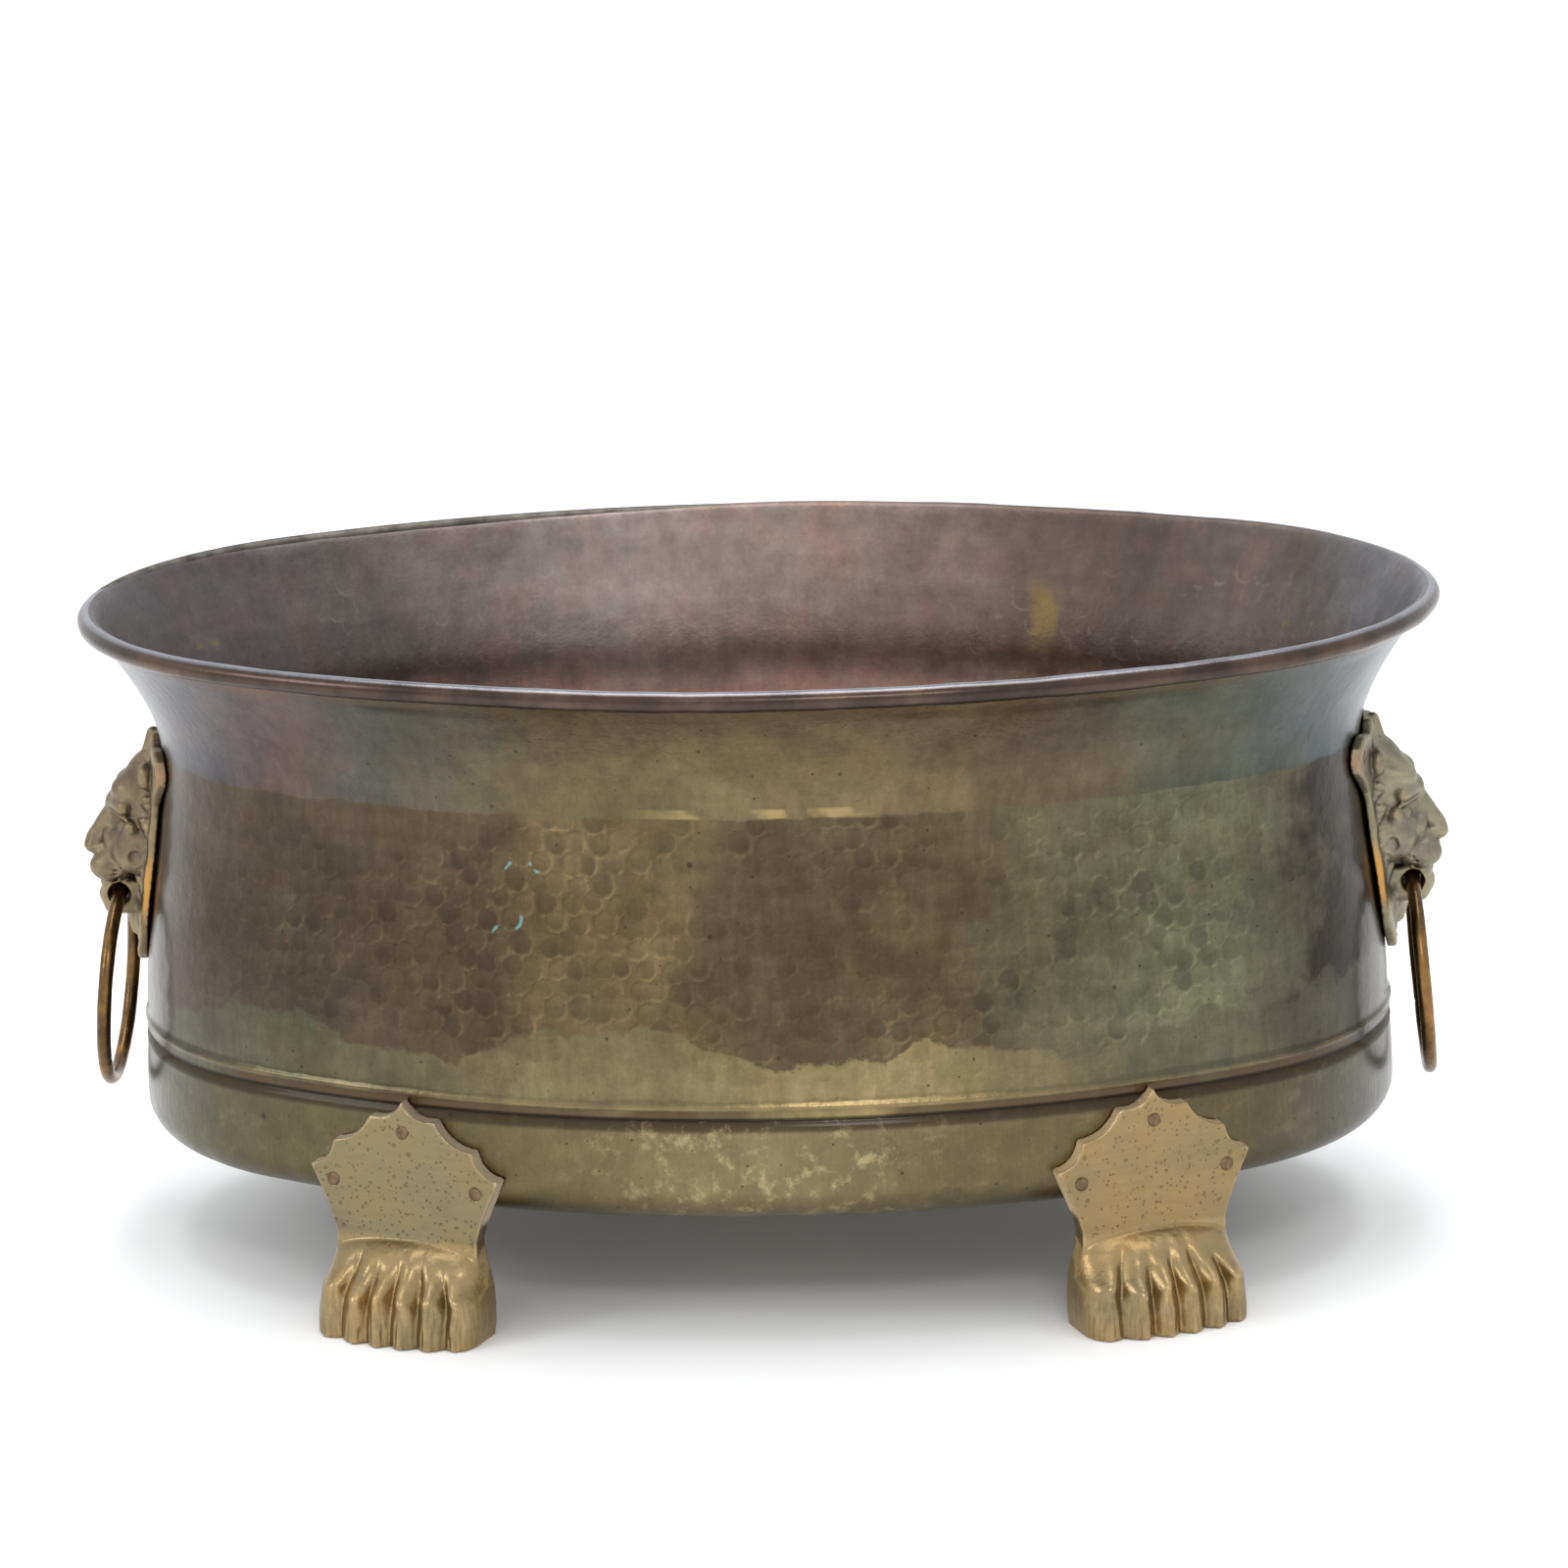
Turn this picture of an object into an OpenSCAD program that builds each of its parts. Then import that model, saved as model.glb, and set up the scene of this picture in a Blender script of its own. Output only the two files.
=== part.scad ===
// Footed oval planter: a hammered brass basin on four cast paw feet, with a
// lion mask and a swinging ring at each end. Millimetres, +Z up, +X along the
// length, -Y to the front, origin on the ground under the basin's middle.

/* [Basin oval] */
// Radius of the two end arcs at the swage crest
end_radius = 122.5; // [118:0.5:126]
// How far the oval's arc centres lie apart, as multiples of a 33-56-65 triangle
arc_step = 4.16; // [4:0.01:4.3]

/* [Basin heights] */
// Underside of the pan above the ground
floor_z = 49.6; // [46:0.2:54]
// Height of the lower edge of the wall, where it laps over the pan
lip_z = 92.5; // [90:0.5:94]
// Height of the swage crest
swage_z = 97.7; // [96:0.1:100]
// Height of the neck, the narrowest part of the basin
neck_z = 212; // [206:1:220]
// Height of the middle of the rolled rim
rim_z = 266.8; // [258:0.2:274]

/* [Basin wall] */
// Thickness of the sheet that the wall and the pan are raised from
sheet_t = 1.5; // [1.2:0.1:1.8]
// How far the wall stands in from the swage crest, just above it
shoulder_in = 0.9; // [0.5:0.1:1.4]
// How far the neck stands in from the swage crest
neck_in = 11.9; // [8:0.1:14]
// How far the middle of the rolled rim stands out from the swage crest
rim_out = 16; // [12:0.1:18]
// How late the flare turns outward: 1 is a straight cone
flare_power = 1.6; // [1.4:0.1:2]
// Radius of the rolled rim
bead_r = 4.3; // [4:0.1:4.8]
// Height of the pan's upstand inside the wall
pan_top_z = 104; // [101:0.5:106]
// How far the pan's side bulges past the swage crest
pan_out = 0.8; // [0.4:0.1:1.2]
// Radius of the pan's lower corner
corner_r = 13.8; // [12:0.1:16]

/* [Feet] */
// Angle of each foot round the side arc, from the middle of the side
foot_angle = 22; // [20:0.5:22.5]
// How far round toward +X all four feet stand from even places
foot_shift = 1.7; // [0:0.1:1.7]
// Height of the point of the foot's back plate
plate_top_z = 96; // [94:0.5:98]
// How far the plate's face stands out from the pan
plate_front = 5; // [4:0.25:6]
// Height of the ankle, where the plate meets the paw
ankle_z = 38; // [34:0.5:42]
// Half the width of the paw over its toes
paw_half = 35.5; // [33:0.5:37]
// How far the toes reach out from the pan
paw_reach = 30; // [27:0.5:33]
// Toes on each paw
toe_count = 5; // [4:1:5]

/* [Lion masks] */
// Thickness of the mask's back plate
mask_t = 4.2; // [3.5:0.1:5]
// Height of the lowest point of the mask
mask_low_z = 117.5; // [114:0.5:120]
// Height of the middle of the side lobes
lobe_z = 204; // [200:0.5:206]
// Reach of the nose tip from the middle of the basin
nose_x = 283.5; // [281:0.5:286]
// Height of the hole through the mouth
mouth_z = 146; // [144:0.5:148]
// Radius of the hole through the mouth
mouth_r = 4.7; // [4.6:0.1:5]

/* [Rings] */
// Radius of the ring at the middle of its wire
ring_r = 40.5; // [36:0.5:42]
// Radius of the ring's wire
ring_wire_r = 3; // [2.6:0.1:3.2]
// How far the hanging ring leans out, held off by the mask
ring_lean = 5; // [4:0.5:8]

/* [Rivets] */
// Radius of a rivet's shank
shank_r = 2; // [1.6:0.1:2.2]
// Radius of a rivet's flush outer head
head_r = 2.65; // [2.4:0.05:3]

/* [Hidden] */

// Facets of a full turn of the basin, and of small round things
turn_fn = 180;
small_fn = 36;
// Clearance of the wire inside the rolled rim
wire_gap = 0.1;
// Something small to cut past a face with, and how deep a cut reaches in
over = 1;
cut_in = 30;
// How far the flare's line passes outside the middle of the rolled rim
flare_past = 0.7;
// Half the width of a foot at its ankle
ankle_half = 31;
// How deep a countersunk rivet head narrows, from the first height to the second
sink_from = 0.6;
sink_to = 1.4;
// How deep the rivet holes are cut, through plate and sheet
foot_hole = 20;
mask_hole = 12;
// Where the cuts for a mask start, well inside the basin, and their length
mask_from = 200;
mask_length = 90;

// The oval is four arcs. Each side arc is centred on the far side of the
// middle, and meets the end arcs where a line through both centres crosses.
// The centres form right triangles with whole sides, so the arcs meet exactly.
end_centre = 33 * arc_step;
side_centre = 56 * arc_step;
side_radius = end_radius + 65 * arc_step;

// Wall outline, as distance out from the swage crest at a height
function ease(t) = (1 - cos(180 * t)) / 2;
function belly(z) =
  -shoulder_in - (neck_in - shoulder_in) * ease((z - swage_z) / (neck_z - swage_z));
function flare(z) =
  -neck_in + (rim_out + flare_past + neck_in) * pow((z - neck_z) / (rim_z - neck_z), flare_power);
function wall_out(z) = z < neck_z ? belly(z) : flare(z);
function wall_slope(z) = wall_out(z + 0.5) - wall_out(z - 0.5);

// The point on the wall's inner face behind its outer point at a height
function wall_in(z, s) = [wall_out(z) - sheet_t / norm([1, s]), z + sheet_t * s / norm([1, s])];

lap_in = -shoulder_in - sheet_t;
lip_out = -0.6;
wall_low_z = swage_z + 1.6;
lap_end_z = pan_top_z + 4;
wall_high_z = rim_z - 2.8;
function heights(low, high, steps) = [for (i = [0:steps]) low + (high - low) * i / steps];
outer_z = concat(heights(wall_low_z, neck_z, 12), heights(neck_z + 5, wall_high_z, 10));
inner_z = [for (z = outer_z) if (z > lap_end_z) z];
lip_points = [[lip_out, lip_z], [0, swage_z]];
wall_points = [for (z = outer_z) [wall_out(z), z]];

// Pan outline, from its upstand down and in to the floor
function pan_corner(r) = [
  for (a = [0:15:90])
    [pan_out - corner_r + r * cos(a), floor_z + corner_r - r * sin(a)]
];
pan_outer = concat(
  [[lap_in, pan_top_z], [lap_in, lip_z - 0.3], [-0.5, lip_z - 3], [0.3, lip_z - 10]],
  pan_corner(corner_r)
);
pan_inner = concat(
  [[lap_in, pan_top_z], [lap_in, lip_z - 0.9], [-0.5, lip_z - 3.6], [0.3, lip_z - 10]]
    - [for (i = [0:3]) [sheet_t, 0]],
  pan_corner(corner_r - sheet_t)
);
floor_in = pan_out - corner_r;

// What lies behind the basin's outer face, up to a height
function basin_outline(high) = concat(
  [[-cut_in, floor_z]],
  [for (i = [len(pan_outer) - 1:-1:1]) pan_outer[i]],
  [[lap_in, lip_z]],
  [for (p = concat(lip_points, wall_points)) if (p[1] <= high) p],
  [[-cut_in, high]]
);

function reversed(list) = [for (i = [len(list) - 1:-1:0]) list[i]];

// The quarter plane between the joints of a side arc, or of an end arc
module side_sector() {
  linear_extrude(2 * rim_z)
    polygon([[-end_centre, 0], [end_centre, 0], [3 * end_centre, -2 * side_centre],
             [-3 * end_centre, -2 * side_centre]]);
}

module end_sector() {
  linear_extrude(2 * rim_z)
    polygon([[end_centre, 0], [3 * end_centre, -2 * side_centre],
             [3 * end_centre, 2 * side_centre]]);
}

// Sweeps an outline (distance out from the swage crest, height) round the oval
module oval_sweep() {
  for (side = [0, 180])
    rotate([0, 0, side]) {
      intersection() {
        translate([0, side_centre, 0])
          rotate_extrude($fn = 2 * turn_fn)
            translate([side_radius, 0])
              children();
        side_sector();
      }
      intersection() {
        translate([end_centre, 0, 0])
          rotate_extrude($fn = turn_fn)
            translate([end_radius, 0])
              children();
        end_sector();
      }
    }
}

// A flat oval plate that stands a distance out from the swage crest
module oval_plate(out, low, thickness) {
  for (side = [0, 180])
    rotate([0, 0, side]) {
      intersection() {
        translate([0, side_centre, low])
          cylinder(thickness, r = side_radius + out, $fn = 2 * turn_fn);
        side_sector();
      }
      intersection() {
        translate([end_centre, 0, low])
          cylinder(thickness, r = end_radius + out, $fn = turn_fn);
        end_sector();
      }
    }
}

// ---- Basin ----

module basin_wall() {
  color("#6b5b3c")
    difference() {
      oval_sweep()
        difference() {
          union() {
            polygon(concat(
              [[lap_in, lip_z]], lip_points, wall_points,
              reversed([for (z = inner_z) wall_in(z, wall_slope(z))]),
              [[lap_in, lap_end_z]]
            ));
            translate([rim_out, rim_z])
              circle(bead_r, $fn = small_fn);
          }
          translate([rim_out, rim_z])
            circle(bead_r - sheet_t, $fn = small_fn);
        }
      for (side = [0, 180])
        rotate([0, 0, side])
          mask_rivet_holes();
    }
}

module bottom_pan() {
  color("#75683f")
    difference() {
      union() {
        oval_sweep()
          polygon(concat(pan_outer, reversed(pan_inner)));
        oval_plate(floor_in, floor_z, sheet_t);
      }
      for (x_side = [-1, 1], y_side = [-1, 1])
        at_foot(x_side, y_side)
          foot_rivet_holes();
    }
}

// The wire that the rim is rolled round
module rim_wire() {
  color("#5a5550")
    oval_sweep()
      translate([rim_out, rim_z])
        circle(bead_r - sheet_t - wire_gap, $fn = small_fn);
}

// The fillet of solder that seals the pan's upstand to the wall
module lap_solder() {
  color("#9a9a94")
    oval_sweep()
      polygon([[lap_in - sheet_t, pan_top_z], [lap_in, pan_top_z], [lap_in, pan_top_z + 3]]);
}

// ---- Rivets ----

// A rivet along Y, from its outer end at y = 0 through a grip to its inner head
module rivet(grip) {
  rotate([90, 0, 0])
    rotate_extrude($fn = small_fn)
      polygon([
        [0, 0], [head_r, 0], [head_r, -sink_from], [shank_r, -sink_to], [shank_r, -grip],
        [2 * shank_r, -grip], [1.8 * shank_r, -grip - 1.2], [1.1 * shank_r, -grip - 2],
        [0, -grip - 2.2]
      ]);
}

// The countersunk hole for that rivet
module rivet_hole(depth) {
  rotate([90, 0, 0])
    rotate_extrude($fn = small_fn)
      polygon([
        [0, over], [head_r, over], [head_r, -sink_from], [shank_r, -sink_to],
        [shank_r, -depth], [0, -depth]
      ]);
}

// ---- Feet ----

// A foot's own frame: the pan's side at the origin, outward along -Y
module at_foot(x_side, y_side) {
  rotate([0, 0, y_side < 0 ? 0 : 180])
    translate([0, side_centre, 0])
      rotate([0, 0, -y_side * (x_side * foot_angle + foot_shift)])
        translate([0, -side_radius - pan_out, 0])
          children();
}

// The plate's scalloped points, from its top down to its side tip
plate_points = [
  [0, plate_top_z], [14.5, plate_top_z - 7], [31, plate_top_z - 18.5],
  [42, plate_top_z - 29.5]
];
scallop_depth = 2.4;
// How far the plate reaches back under the pan
plate_back = 3;
foot_cut_angle = 9;
rivet_spots = [[0, plate_top_z - 13], [-31.5, plate_top_z - 35.5], [31.5, plate_top_z - 35.5]];

// The grip of a foot's rivet, from the plate's face to the pan's inner face
function foot_grip(spot) =
  plate_front + pan_out + sheet_t + spot[0] * spot[0] / (2 * side_radius)
    + (spot[0] == 0 ? 0.2 : 1.2);

// A circle that bites between two points, as deep as a scallop
module scallop(a, b) {
  chord = norm(b - a);
  r = (chord * chord / 4 + scallop_depth * scallop_depth) / (2 * scallop_depth);
  out = [b[1] - a[1], a[0] - b[0]] / chord;
  translate((a + b) / 2 - out * (r - scallop_depth))
    circle(r, $fn = 4 * small_fn);
}

// The blank stands a little past its points, where neighbouring bites meet
module plate_outline() {
  difference() {
    polygon(concat(
      reversed([for (p = plate_points) p + [p[0] > 0 ? 0.7 : 0, 1.8]]),
      [for (p = plate_points) if (p[0] > 0) [-p[0] - 0.7, p[1] + 1.8]],
      [[-ankle_half, ankle_z], [-ankle_half, ankle_z - 8], [ankle_half, ankle_z - 8],
       [ankle_half, ankle_z]]
    ));
    for (side = [0, 1], i = [0:len(plate_points) - 2])
      mirror([side, 0])
        scallop(plate_points[i], plate_points[i + 1]);
  }
}

// The paw from above: round toes in an arc in front of a tapered block
module paw_plan() {
  toe_r = paw_half / toe_count * 1.25;
  spread = 2 * (paw_half - toe_r) / (toe_count - 1);
  polygon([
    [-ankle_half, plate_back], [ankle_half, plate_back], [paw_half - 2, -8],
    [paw_half - toe_r, 4 - paw_reach * 0.75],
    [toe_r - paw_half, 4 - paw_reach * 0.75], [2 - paw_half, -8]
  ]);
  for (i = [0:toe_count - 1]) {
    x = i * spread - (paw_half - toe_r);
    translate([x, toe_r - paw_reach + 7 * pow(x / paw_half, 2)])
      circle(toe_r, $fn = small_fn);
  }
}

// The paw from the side, its reach along X
module paw_side() {
  polygon([
    [-plate_back, 0], [paw_reach - 1.5, 0], [paw_reach, 4], [paw_reach - 0.4, 12],
    [paw_reach - 3.5, 19], [paw_reach - 9, 25.5], [paw_reach - 16, ankle_z - 7],
    [plate_front + 3.5, ankle_z - 2], [plate_front, ankle_z + 1], [-plate_back, ankle_z + 1]
  ]);
}

module foot_rivet_holes() {
  for (spot = rivet_spots)
    translate([spot[0], -plate_front, spot[1]])
      rivet_hole(foot_hole);
}

module foot(x_side, y_side) {
  color("#b08d4a")
    at_foot(x_side, y_side)
      union() {
        difference() {
          translate([0, plate_back, 0])
            rotate([90, 0, 0])
              linear_extrude(plate_front + plate_back)
                plate_outline();
          translate([0, side_radius + pan_out, 0])
            rotate([0, 0, -90 - foot_cut_angle])
              rotate_extrude(angle = 2 * foot_cut_angle, $fn = 4 * turn_fn)
                translate([side_radius, 0])
                  polygon(basin_outline(plate_top_z + 10));
          foot_rivet_holes();
        }
        intersection() {
          linear_extrude(ankle_z + 1)
            paw_plan();
          rotate([90, 0, -90])
            linear_extrude(2 * paw_half, center = true)
              paw_side();
        }
      }
}

module foot_rivets(x_side, y_side) {
  color("#a5663f")
    at_foot(x_side, y_side)
      for (spot = rivet_spots)
        translate([spot[0], -plate_front, spot[1]])
          rivet(foot_grip(spot));
}

// ---- Lion masks, modelled at the right-hand end ----

lobe_angle = 15.5;
jaw_half = 10;
tip_rivet_z = mask_low_z + 6.5;

module mask_outline() {
  polygon([
    [-7, mask_low_z], [7, mask_low_z], [19, mask_low_z + 11], [23, mask_low_z + 25],
    [23, lobe_z - 22], [38, lobe_z - 3], [38, lobe_z + 3], [30, lobe_z + 9], [12, lobe_z + 6],
    [8, lobe_z + 12], [-8, lobe_z + 12], [-12, lobe_z + 6], [-30, lobe_z + 9],
    [-38, lobe_z + 3], [-38, lobe_z - 3], [-23, lobe_z - 22], [-23, mask_low_z + 25],
    [-19, mask_low_z + 11]
  ]);
}

// The head in profile, with X from the middle of the basin
module head_profile() {
  polygon([
    [235, lobe_z + 12], [nose_x - 29, lobe_z + 12], [nose_x - 27.5, lobe_z + 2],
    [nose_x - 20, lobe_z - 8], [nose_x - 12, lobe_z - 15], [nose_x - 10, lobe_z - 25],
    [nose_x - 2, lobe_z - 35], [nose_x, lobe_z - 39], [nose_x - 2, lobe_z - 45],
    [nose_x - 6, lobe_z - 50], [nose_x - 5.5, mouth_z], [nose_x - 7, mouth_z - 6],
    [nose_x - 14, mouth_z - 9], [nose_x - 22, mask_low_z + 5], [235, mask_low_z + 5]
  ]);
}

// The head from the front. The jaw is narrow, so that the ring's wire clears
// its sides, and the muzzle overhangs it.
module head_outline() {
  polygon([
    [-jaw_half, mask_low_z + 5], [jaw_half, mask_low_z + 5], [jaw_half, mouth_z + 5.2],
    [14, mouth_z + 7], [20, mouth_z + 18], [21, lobe_z - 14], [14, lobe_z + 4],
    [9, lobe_z + 12], [-9, lobe_z + 12], [-14, lobe_z + 4], [-21, lobe_z - 14],
    [-20, mouth_z + 18], [-14, mouth_z + 7], [-jaw_half, mouth_z + 5.2]
  ]);
}

// A slab round the end arc, from the wall's outer face out to a thickness
module end_shell(thickness) {
  zs = [for (z = outer_z) if (z > mask_low_z - 10 && z < lobe_z + 25) z];
  translate([end_centre, 0, 0])
    rotate([0, 0, -30])
      rotate_extrude(angle = 60, $fn = turn_fn)
        translate([end_radius, 0])
          polygon(concat(
            [for (z = zs) [wall_out(z), z]],
            [for (z = reversed(zs)) [wall_out(z) + thickness, z]]
          ));
}

// A rivet's place on the mask: angle round the end arc, height
mask_spots = [[-lobe_angle, lobe_z], [lobe_angle, lobe_z], [0, tip_rivet_z]];

module at_mask_spot(spot) {
  translate([end_centre, 0, 0])
    rotate([0, 0, spot[0] + 90])
      translate([0, -end_radius - wall_out(spot[1]) - mask_t, spot[1]])
        children();
}

module mask_rivet_holes() {
  for (spot = mask_spots)
    at_mask_spot(spot)
      rivet_hole(mask_hole);
}

module mask(side) {
  color("#8a7748")
    rotate([0, 0, side])
      difference() {
        union() {
          intersection() {
            translate([mask_from, 0, 0])
              rotate([90, 0, 90])
                linear_extrude(mask_length)
                  mask_outline();
            end_shell(mask_t);
          }
          intersection() {
            rotate([90, 0, 0])
              linear_extrude(44, center = true)
                head_profile();
            translate([mask_from, 0, 0])
              rotate([90, 0, 90])
                linear_extrude(mask_length)
                  head_outline();
            translate([nose_x - 24, 0, mask_low_z])
              cylinder(lobe_z + 12 - mask_low_z, r = 24, $fn = 2 * small_fn);
            end_shell(40);
          }
        }
        translate([nose_x - 15, 0, mouth_z])
          rotate([90, 0, 0])
            cylinder(60, r = mouth_r, center = true, $fn = 2 * small_fn);
        mask_rivet_holes();
      }
}

module mask_rivets(side) {
  color("#a5663f")
    rotate([0, 0, side])
      for (spot = mask_spots)
        at_mask_spot(spot)
          rivet(mask_t + sheet_t + 0.5);
}

// ---- Rings ----

// The wire bows inside the mouth, so the ring turns about a line just below
// the hole's middle and just below the wire's own top
hinge_z = mouth_z - 0.6;
wire_bow = 0.6;

module ring(side) {
  color("#8c6239")
    rotate([0, 0, side])
      translate([nose_x - 15, 0, hinge_z])
        rotate([0, -ring_lean, 0])
          translate([0, 0, wire_bow - ring_r])
            rotate([0, 90, 0])
              rotate_extrude($fn = turn_fn)
                translate([ring_r, 0])
                  circle(ring_wire_r, $fn = small_fn);
}

basin_wall();
bottom_pan();
rim_wire();
lap_solder();
foot(-1, -1);  // foot_front_left
foot(1, -1);  // foot_front_right
foot(-1, 1);  // foot_back_left
foot(1, 1);  // foot_back_right
foot_rivets(-1, -1);  // foot_rivets_front_left
foot_rivets(1, -1);  // foot_rivets_front_right
foot_rivets(-1, 1);  // foot_rivets_back_left
foot_rivets(1, 1);  // foot_rivets_back_right
mask(180);  // mask_left
mask(0);  // mask_right
mask_rivets(180);  // mask_rivets_left
mask_rivets(0);  // mask_rivets_right
ring(180);  // ring_left
ring(0);  // ring_right
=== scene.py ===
"""The looks of the oval brass planter: a hammered basin on four cast paw feet,
with a lion mask and a ring at each end. Shapes are worked out in millimetres,
in the same frame as the CAD, and turned into metres when a mesh is made."""

import functools
import itertools
import math

import bmesh
import bpy
import numpy as np
from mathutils import Matrix, Vector


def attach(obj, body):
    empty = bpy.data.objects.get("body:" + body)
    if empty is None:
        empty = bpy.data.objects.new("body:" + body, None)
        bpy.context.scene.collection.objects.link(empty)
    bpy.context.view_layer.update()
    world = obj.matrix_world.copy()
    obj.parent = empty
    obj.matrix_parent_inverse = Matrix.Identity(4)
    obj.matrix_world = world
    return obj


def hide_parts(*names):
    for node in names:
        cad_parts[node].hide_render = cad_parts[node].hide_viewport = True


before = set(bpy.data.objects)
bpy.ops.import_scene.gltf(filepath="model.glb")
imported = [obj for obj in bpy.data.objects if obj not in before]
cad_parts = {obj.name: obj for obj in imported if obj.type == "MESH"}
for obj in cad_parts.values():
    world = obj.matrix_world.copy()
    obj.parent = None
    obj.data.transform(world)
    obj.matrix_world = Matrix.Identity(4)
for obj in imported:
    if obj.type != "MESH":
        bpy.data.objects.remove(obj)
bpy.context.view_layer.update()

# ---- Sizes, in millimetres ----

# The oval: the arc centres form triangles of 33, 56 and 65 units
END_RADIUS = 122.5
OVAL_UNIT = 4.16
END_CENTRE = 33 * OVAL_UNIT
SIDE_CENTRE = 56 * OVAL_UNIT
SIDE_RADIUS = END_RADIUS + 65 * OVAL_UNIT
JOIN_ANGLE = math.atan2(33, 56)

# The basin: heights, and how far things stand in or out from the swage crest
FLOOR_Z = 49.6
LIP_Z = 92.5
SWAGE_Z = 97.7
NECK_Z = 212.0
RIM_Z = 266.8
SHEET = 1.5
SHOULDER_IN = 0.9
NECK_IN = 11.9
RIM_OUT = 16.0
FLARE_PAST = 0.7
FLARE_POWER = 1.6
BEAD_R = 4.3
PAN_TOP_Z = 104.0
PAN_OUT = 0.8
CORNER_R = 13.8
LAP_IN = -2.4

# The feet: angles round the side arc in degrees, sizes, rivets across and up
FOOT_ANGLE = 22
FOOT_SHIFT = 1.7
FOOT_PLACES = {"front_left": (-1, -1), "front_right": (1, -1),
               "back_left": (-1, 1), "back_right": (1, 1)}
PLATE_FRONT = 5.0
PLATE_TOP_Z = 96.0
ANKLE_Z = 38.0
PAW_HALF = 35.5
PAW_REACH = 30.0
FOOT_RIVETS = [(0.0, 83.0), (-31.5, 60.5), (31.5, 60.5)]

# The masks and rings: each mask rivet is an angle round the end and a height
MASK_T = 4.2
NOSE_X = 283.4
MASK_LOW_Z = 117.5
LOBE_Z = 204.0
MASK_RIVETS = [(-15.5, LOBE_Z), (15.5, LOBE_Z), (0.0, MASK_LOW_Z + 6.5)]
HINGE = (268.5, 0.0, 145.4)
MOUTH_Z = 146.0
MOUTH_R = 4.7
RING_R = 40.5
WIRE_R = 3.0
RING_LEAN = 5
WIRE_BOW = 0.6

HEAD_R = 2.65
SHANK_R = 2.0

CAMERA_AT = (0.14402, -2.43207, 0.82207)
CAMERA_AIM = (0.00951, 0.0, 0.18772)
CAMERA_ROLL = -1.44
CAMERA_LENS = 139.6


# ---- Numbers and noise ----

def mix(a, b, t):
    return a + (b - a) * t


def smoothstep(low, high, x):
    t = np.clip((x - low) / (high - low), 0, 1)
    return t * t * (3 - 2 * t)


def lattice(cells, seed):
    """A number from -1 to 1 for each whole-numbered cell."""
    h = cells[..., 0] * 374761393 + cells[..., 1] * 668265263 + cells[..., 2] * 982451653
    h = (h + seed * 974711) & 0xFFFFFFFF
    h = ((h ^ (h >> 13)) * 1274126177) & 0xFFFFFFFF
    return ((h ^ (h >> 16)) & 0xFFFF) / 32767.5 - 1


def noise(points, size, seed):
    """Smooth noise from -1 to 1, with bumps of about a given size."""
    q = np.asarray(points, float) / size
    cell = np.floor(q).astype(np.int64)
    f = q - cell
    f = f * f * (3 - 2 * f)
    total = np.zeros(q.shape[:-1])
    for corner in itertools.product((0, 1), repeat=3):
        weight = np.prod(np.where(corner, f, 1 - f), axis=-1)
        total += weight * lattice(cell + np.array(corner), seed)
    return total


# ---- The oval ----

def oval_arcs():
    """The four arcs from the front's middle round by the right, the first one
    met again at the end: start, centre x and y, radius, first angle."""
    side = 2 * JOIN_ANGLE * SIDE_RADIUS
    end = (math.pi - 2 * JOIN_ANGLE) * END_RADIUS
    starts = [0, side / 2, side / 2 + end, 1.5 * side + end, 1.5 * side + 2 * end]
    quarter = math.pi / 2
    arcs = [
        (starts[0], 0, SIDE_CENTRE, SIDE_RADIUS, -quarter),
        (starts[1], END_CENTRE, 0, END_RADIUS, JOIN_ANGLE - quarter),
        (starts[2], 0, -SIDE_CENTRE, SIDE_RADIUS, quarter - JOIN_ANGLE),
        (starts[3], -END_CENTRE, 0, END_RADIUS, quarter + JOIN_ANGLE),
        (starts[4], 0, SIDE_CENTRE, SIDE_RADIUS, 3 * quarter - JOIN_ANGLE),
    ]
    return arcs, 2 * side + 2 * end


ARCS, PERIMETER = oval_arcs()


def oval(s, out, z):
    """Points a distance round the crest, a distance out from it, at a height."""
    s, out, z = np.broadcast_arrays(s, out, z)
    s = np.mod(s, PERIMETER)
    x = np.zeros(s.shape)
    y = np.zeros(s.shape)
    for start, centre_x, centre_y, radius, angle in ARCS:
        here = s >= start
        turn = angle + (s - start) / radius
        x = np.where(here, centre_x + (radius + out) * np.cos(turn), x)
        y = np.where(here, centre_y + (radius + out) * np.sin(turn), y)
    return np.stack([x, y, z], axis=-1)


def round_distance(x, y):
    """The distance round the crest that lies nearest to a place."""
    s = np.linspace(0, PERIMETER, 4000, endpoint=False)
    points = oval(s, 0, 0)
    return s[np.argmin((points[:, 0] - x) ** 2 + (points[:, 1] - y) ** 2)]


def way_round(s, at):
    """How far a place lies from distances round the crest, the shorter way."""
    away = np.abs(s - at)
    return np.minimum(away, PERIMETER - away)


def wall_out(z):
    """How far the wall's outer face stands out from the crest at a height."""
    z = np.asarray(z, float)
    t = np.clip((z - SWAGE_Z) / (NECK_Z - SWAGE_Z), 0, 1)
    belly = -SHOULDER_IN - (NECK_IN - SHOULDER_IN) * (1 - np.cos(math.pi * t)) / 2
    u = np.clip((z - NECK_Z) / (RIM_Z - NECK_Z), 0, 2)
    flare = -NECK_IN + (RIM_OUT + FLARE_PAST + NECK_IN) * u ** FLARE_POWER
    return np.where(z < NECK_Z, belly, flare)


# ---- Meshes ----

def link(name, data):
    """A new object in the scene."""
    obj = bpy.data.objects.new(name, data)
    bpy.context.scene.collection.objects.link(obj)
    return obj


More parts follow.
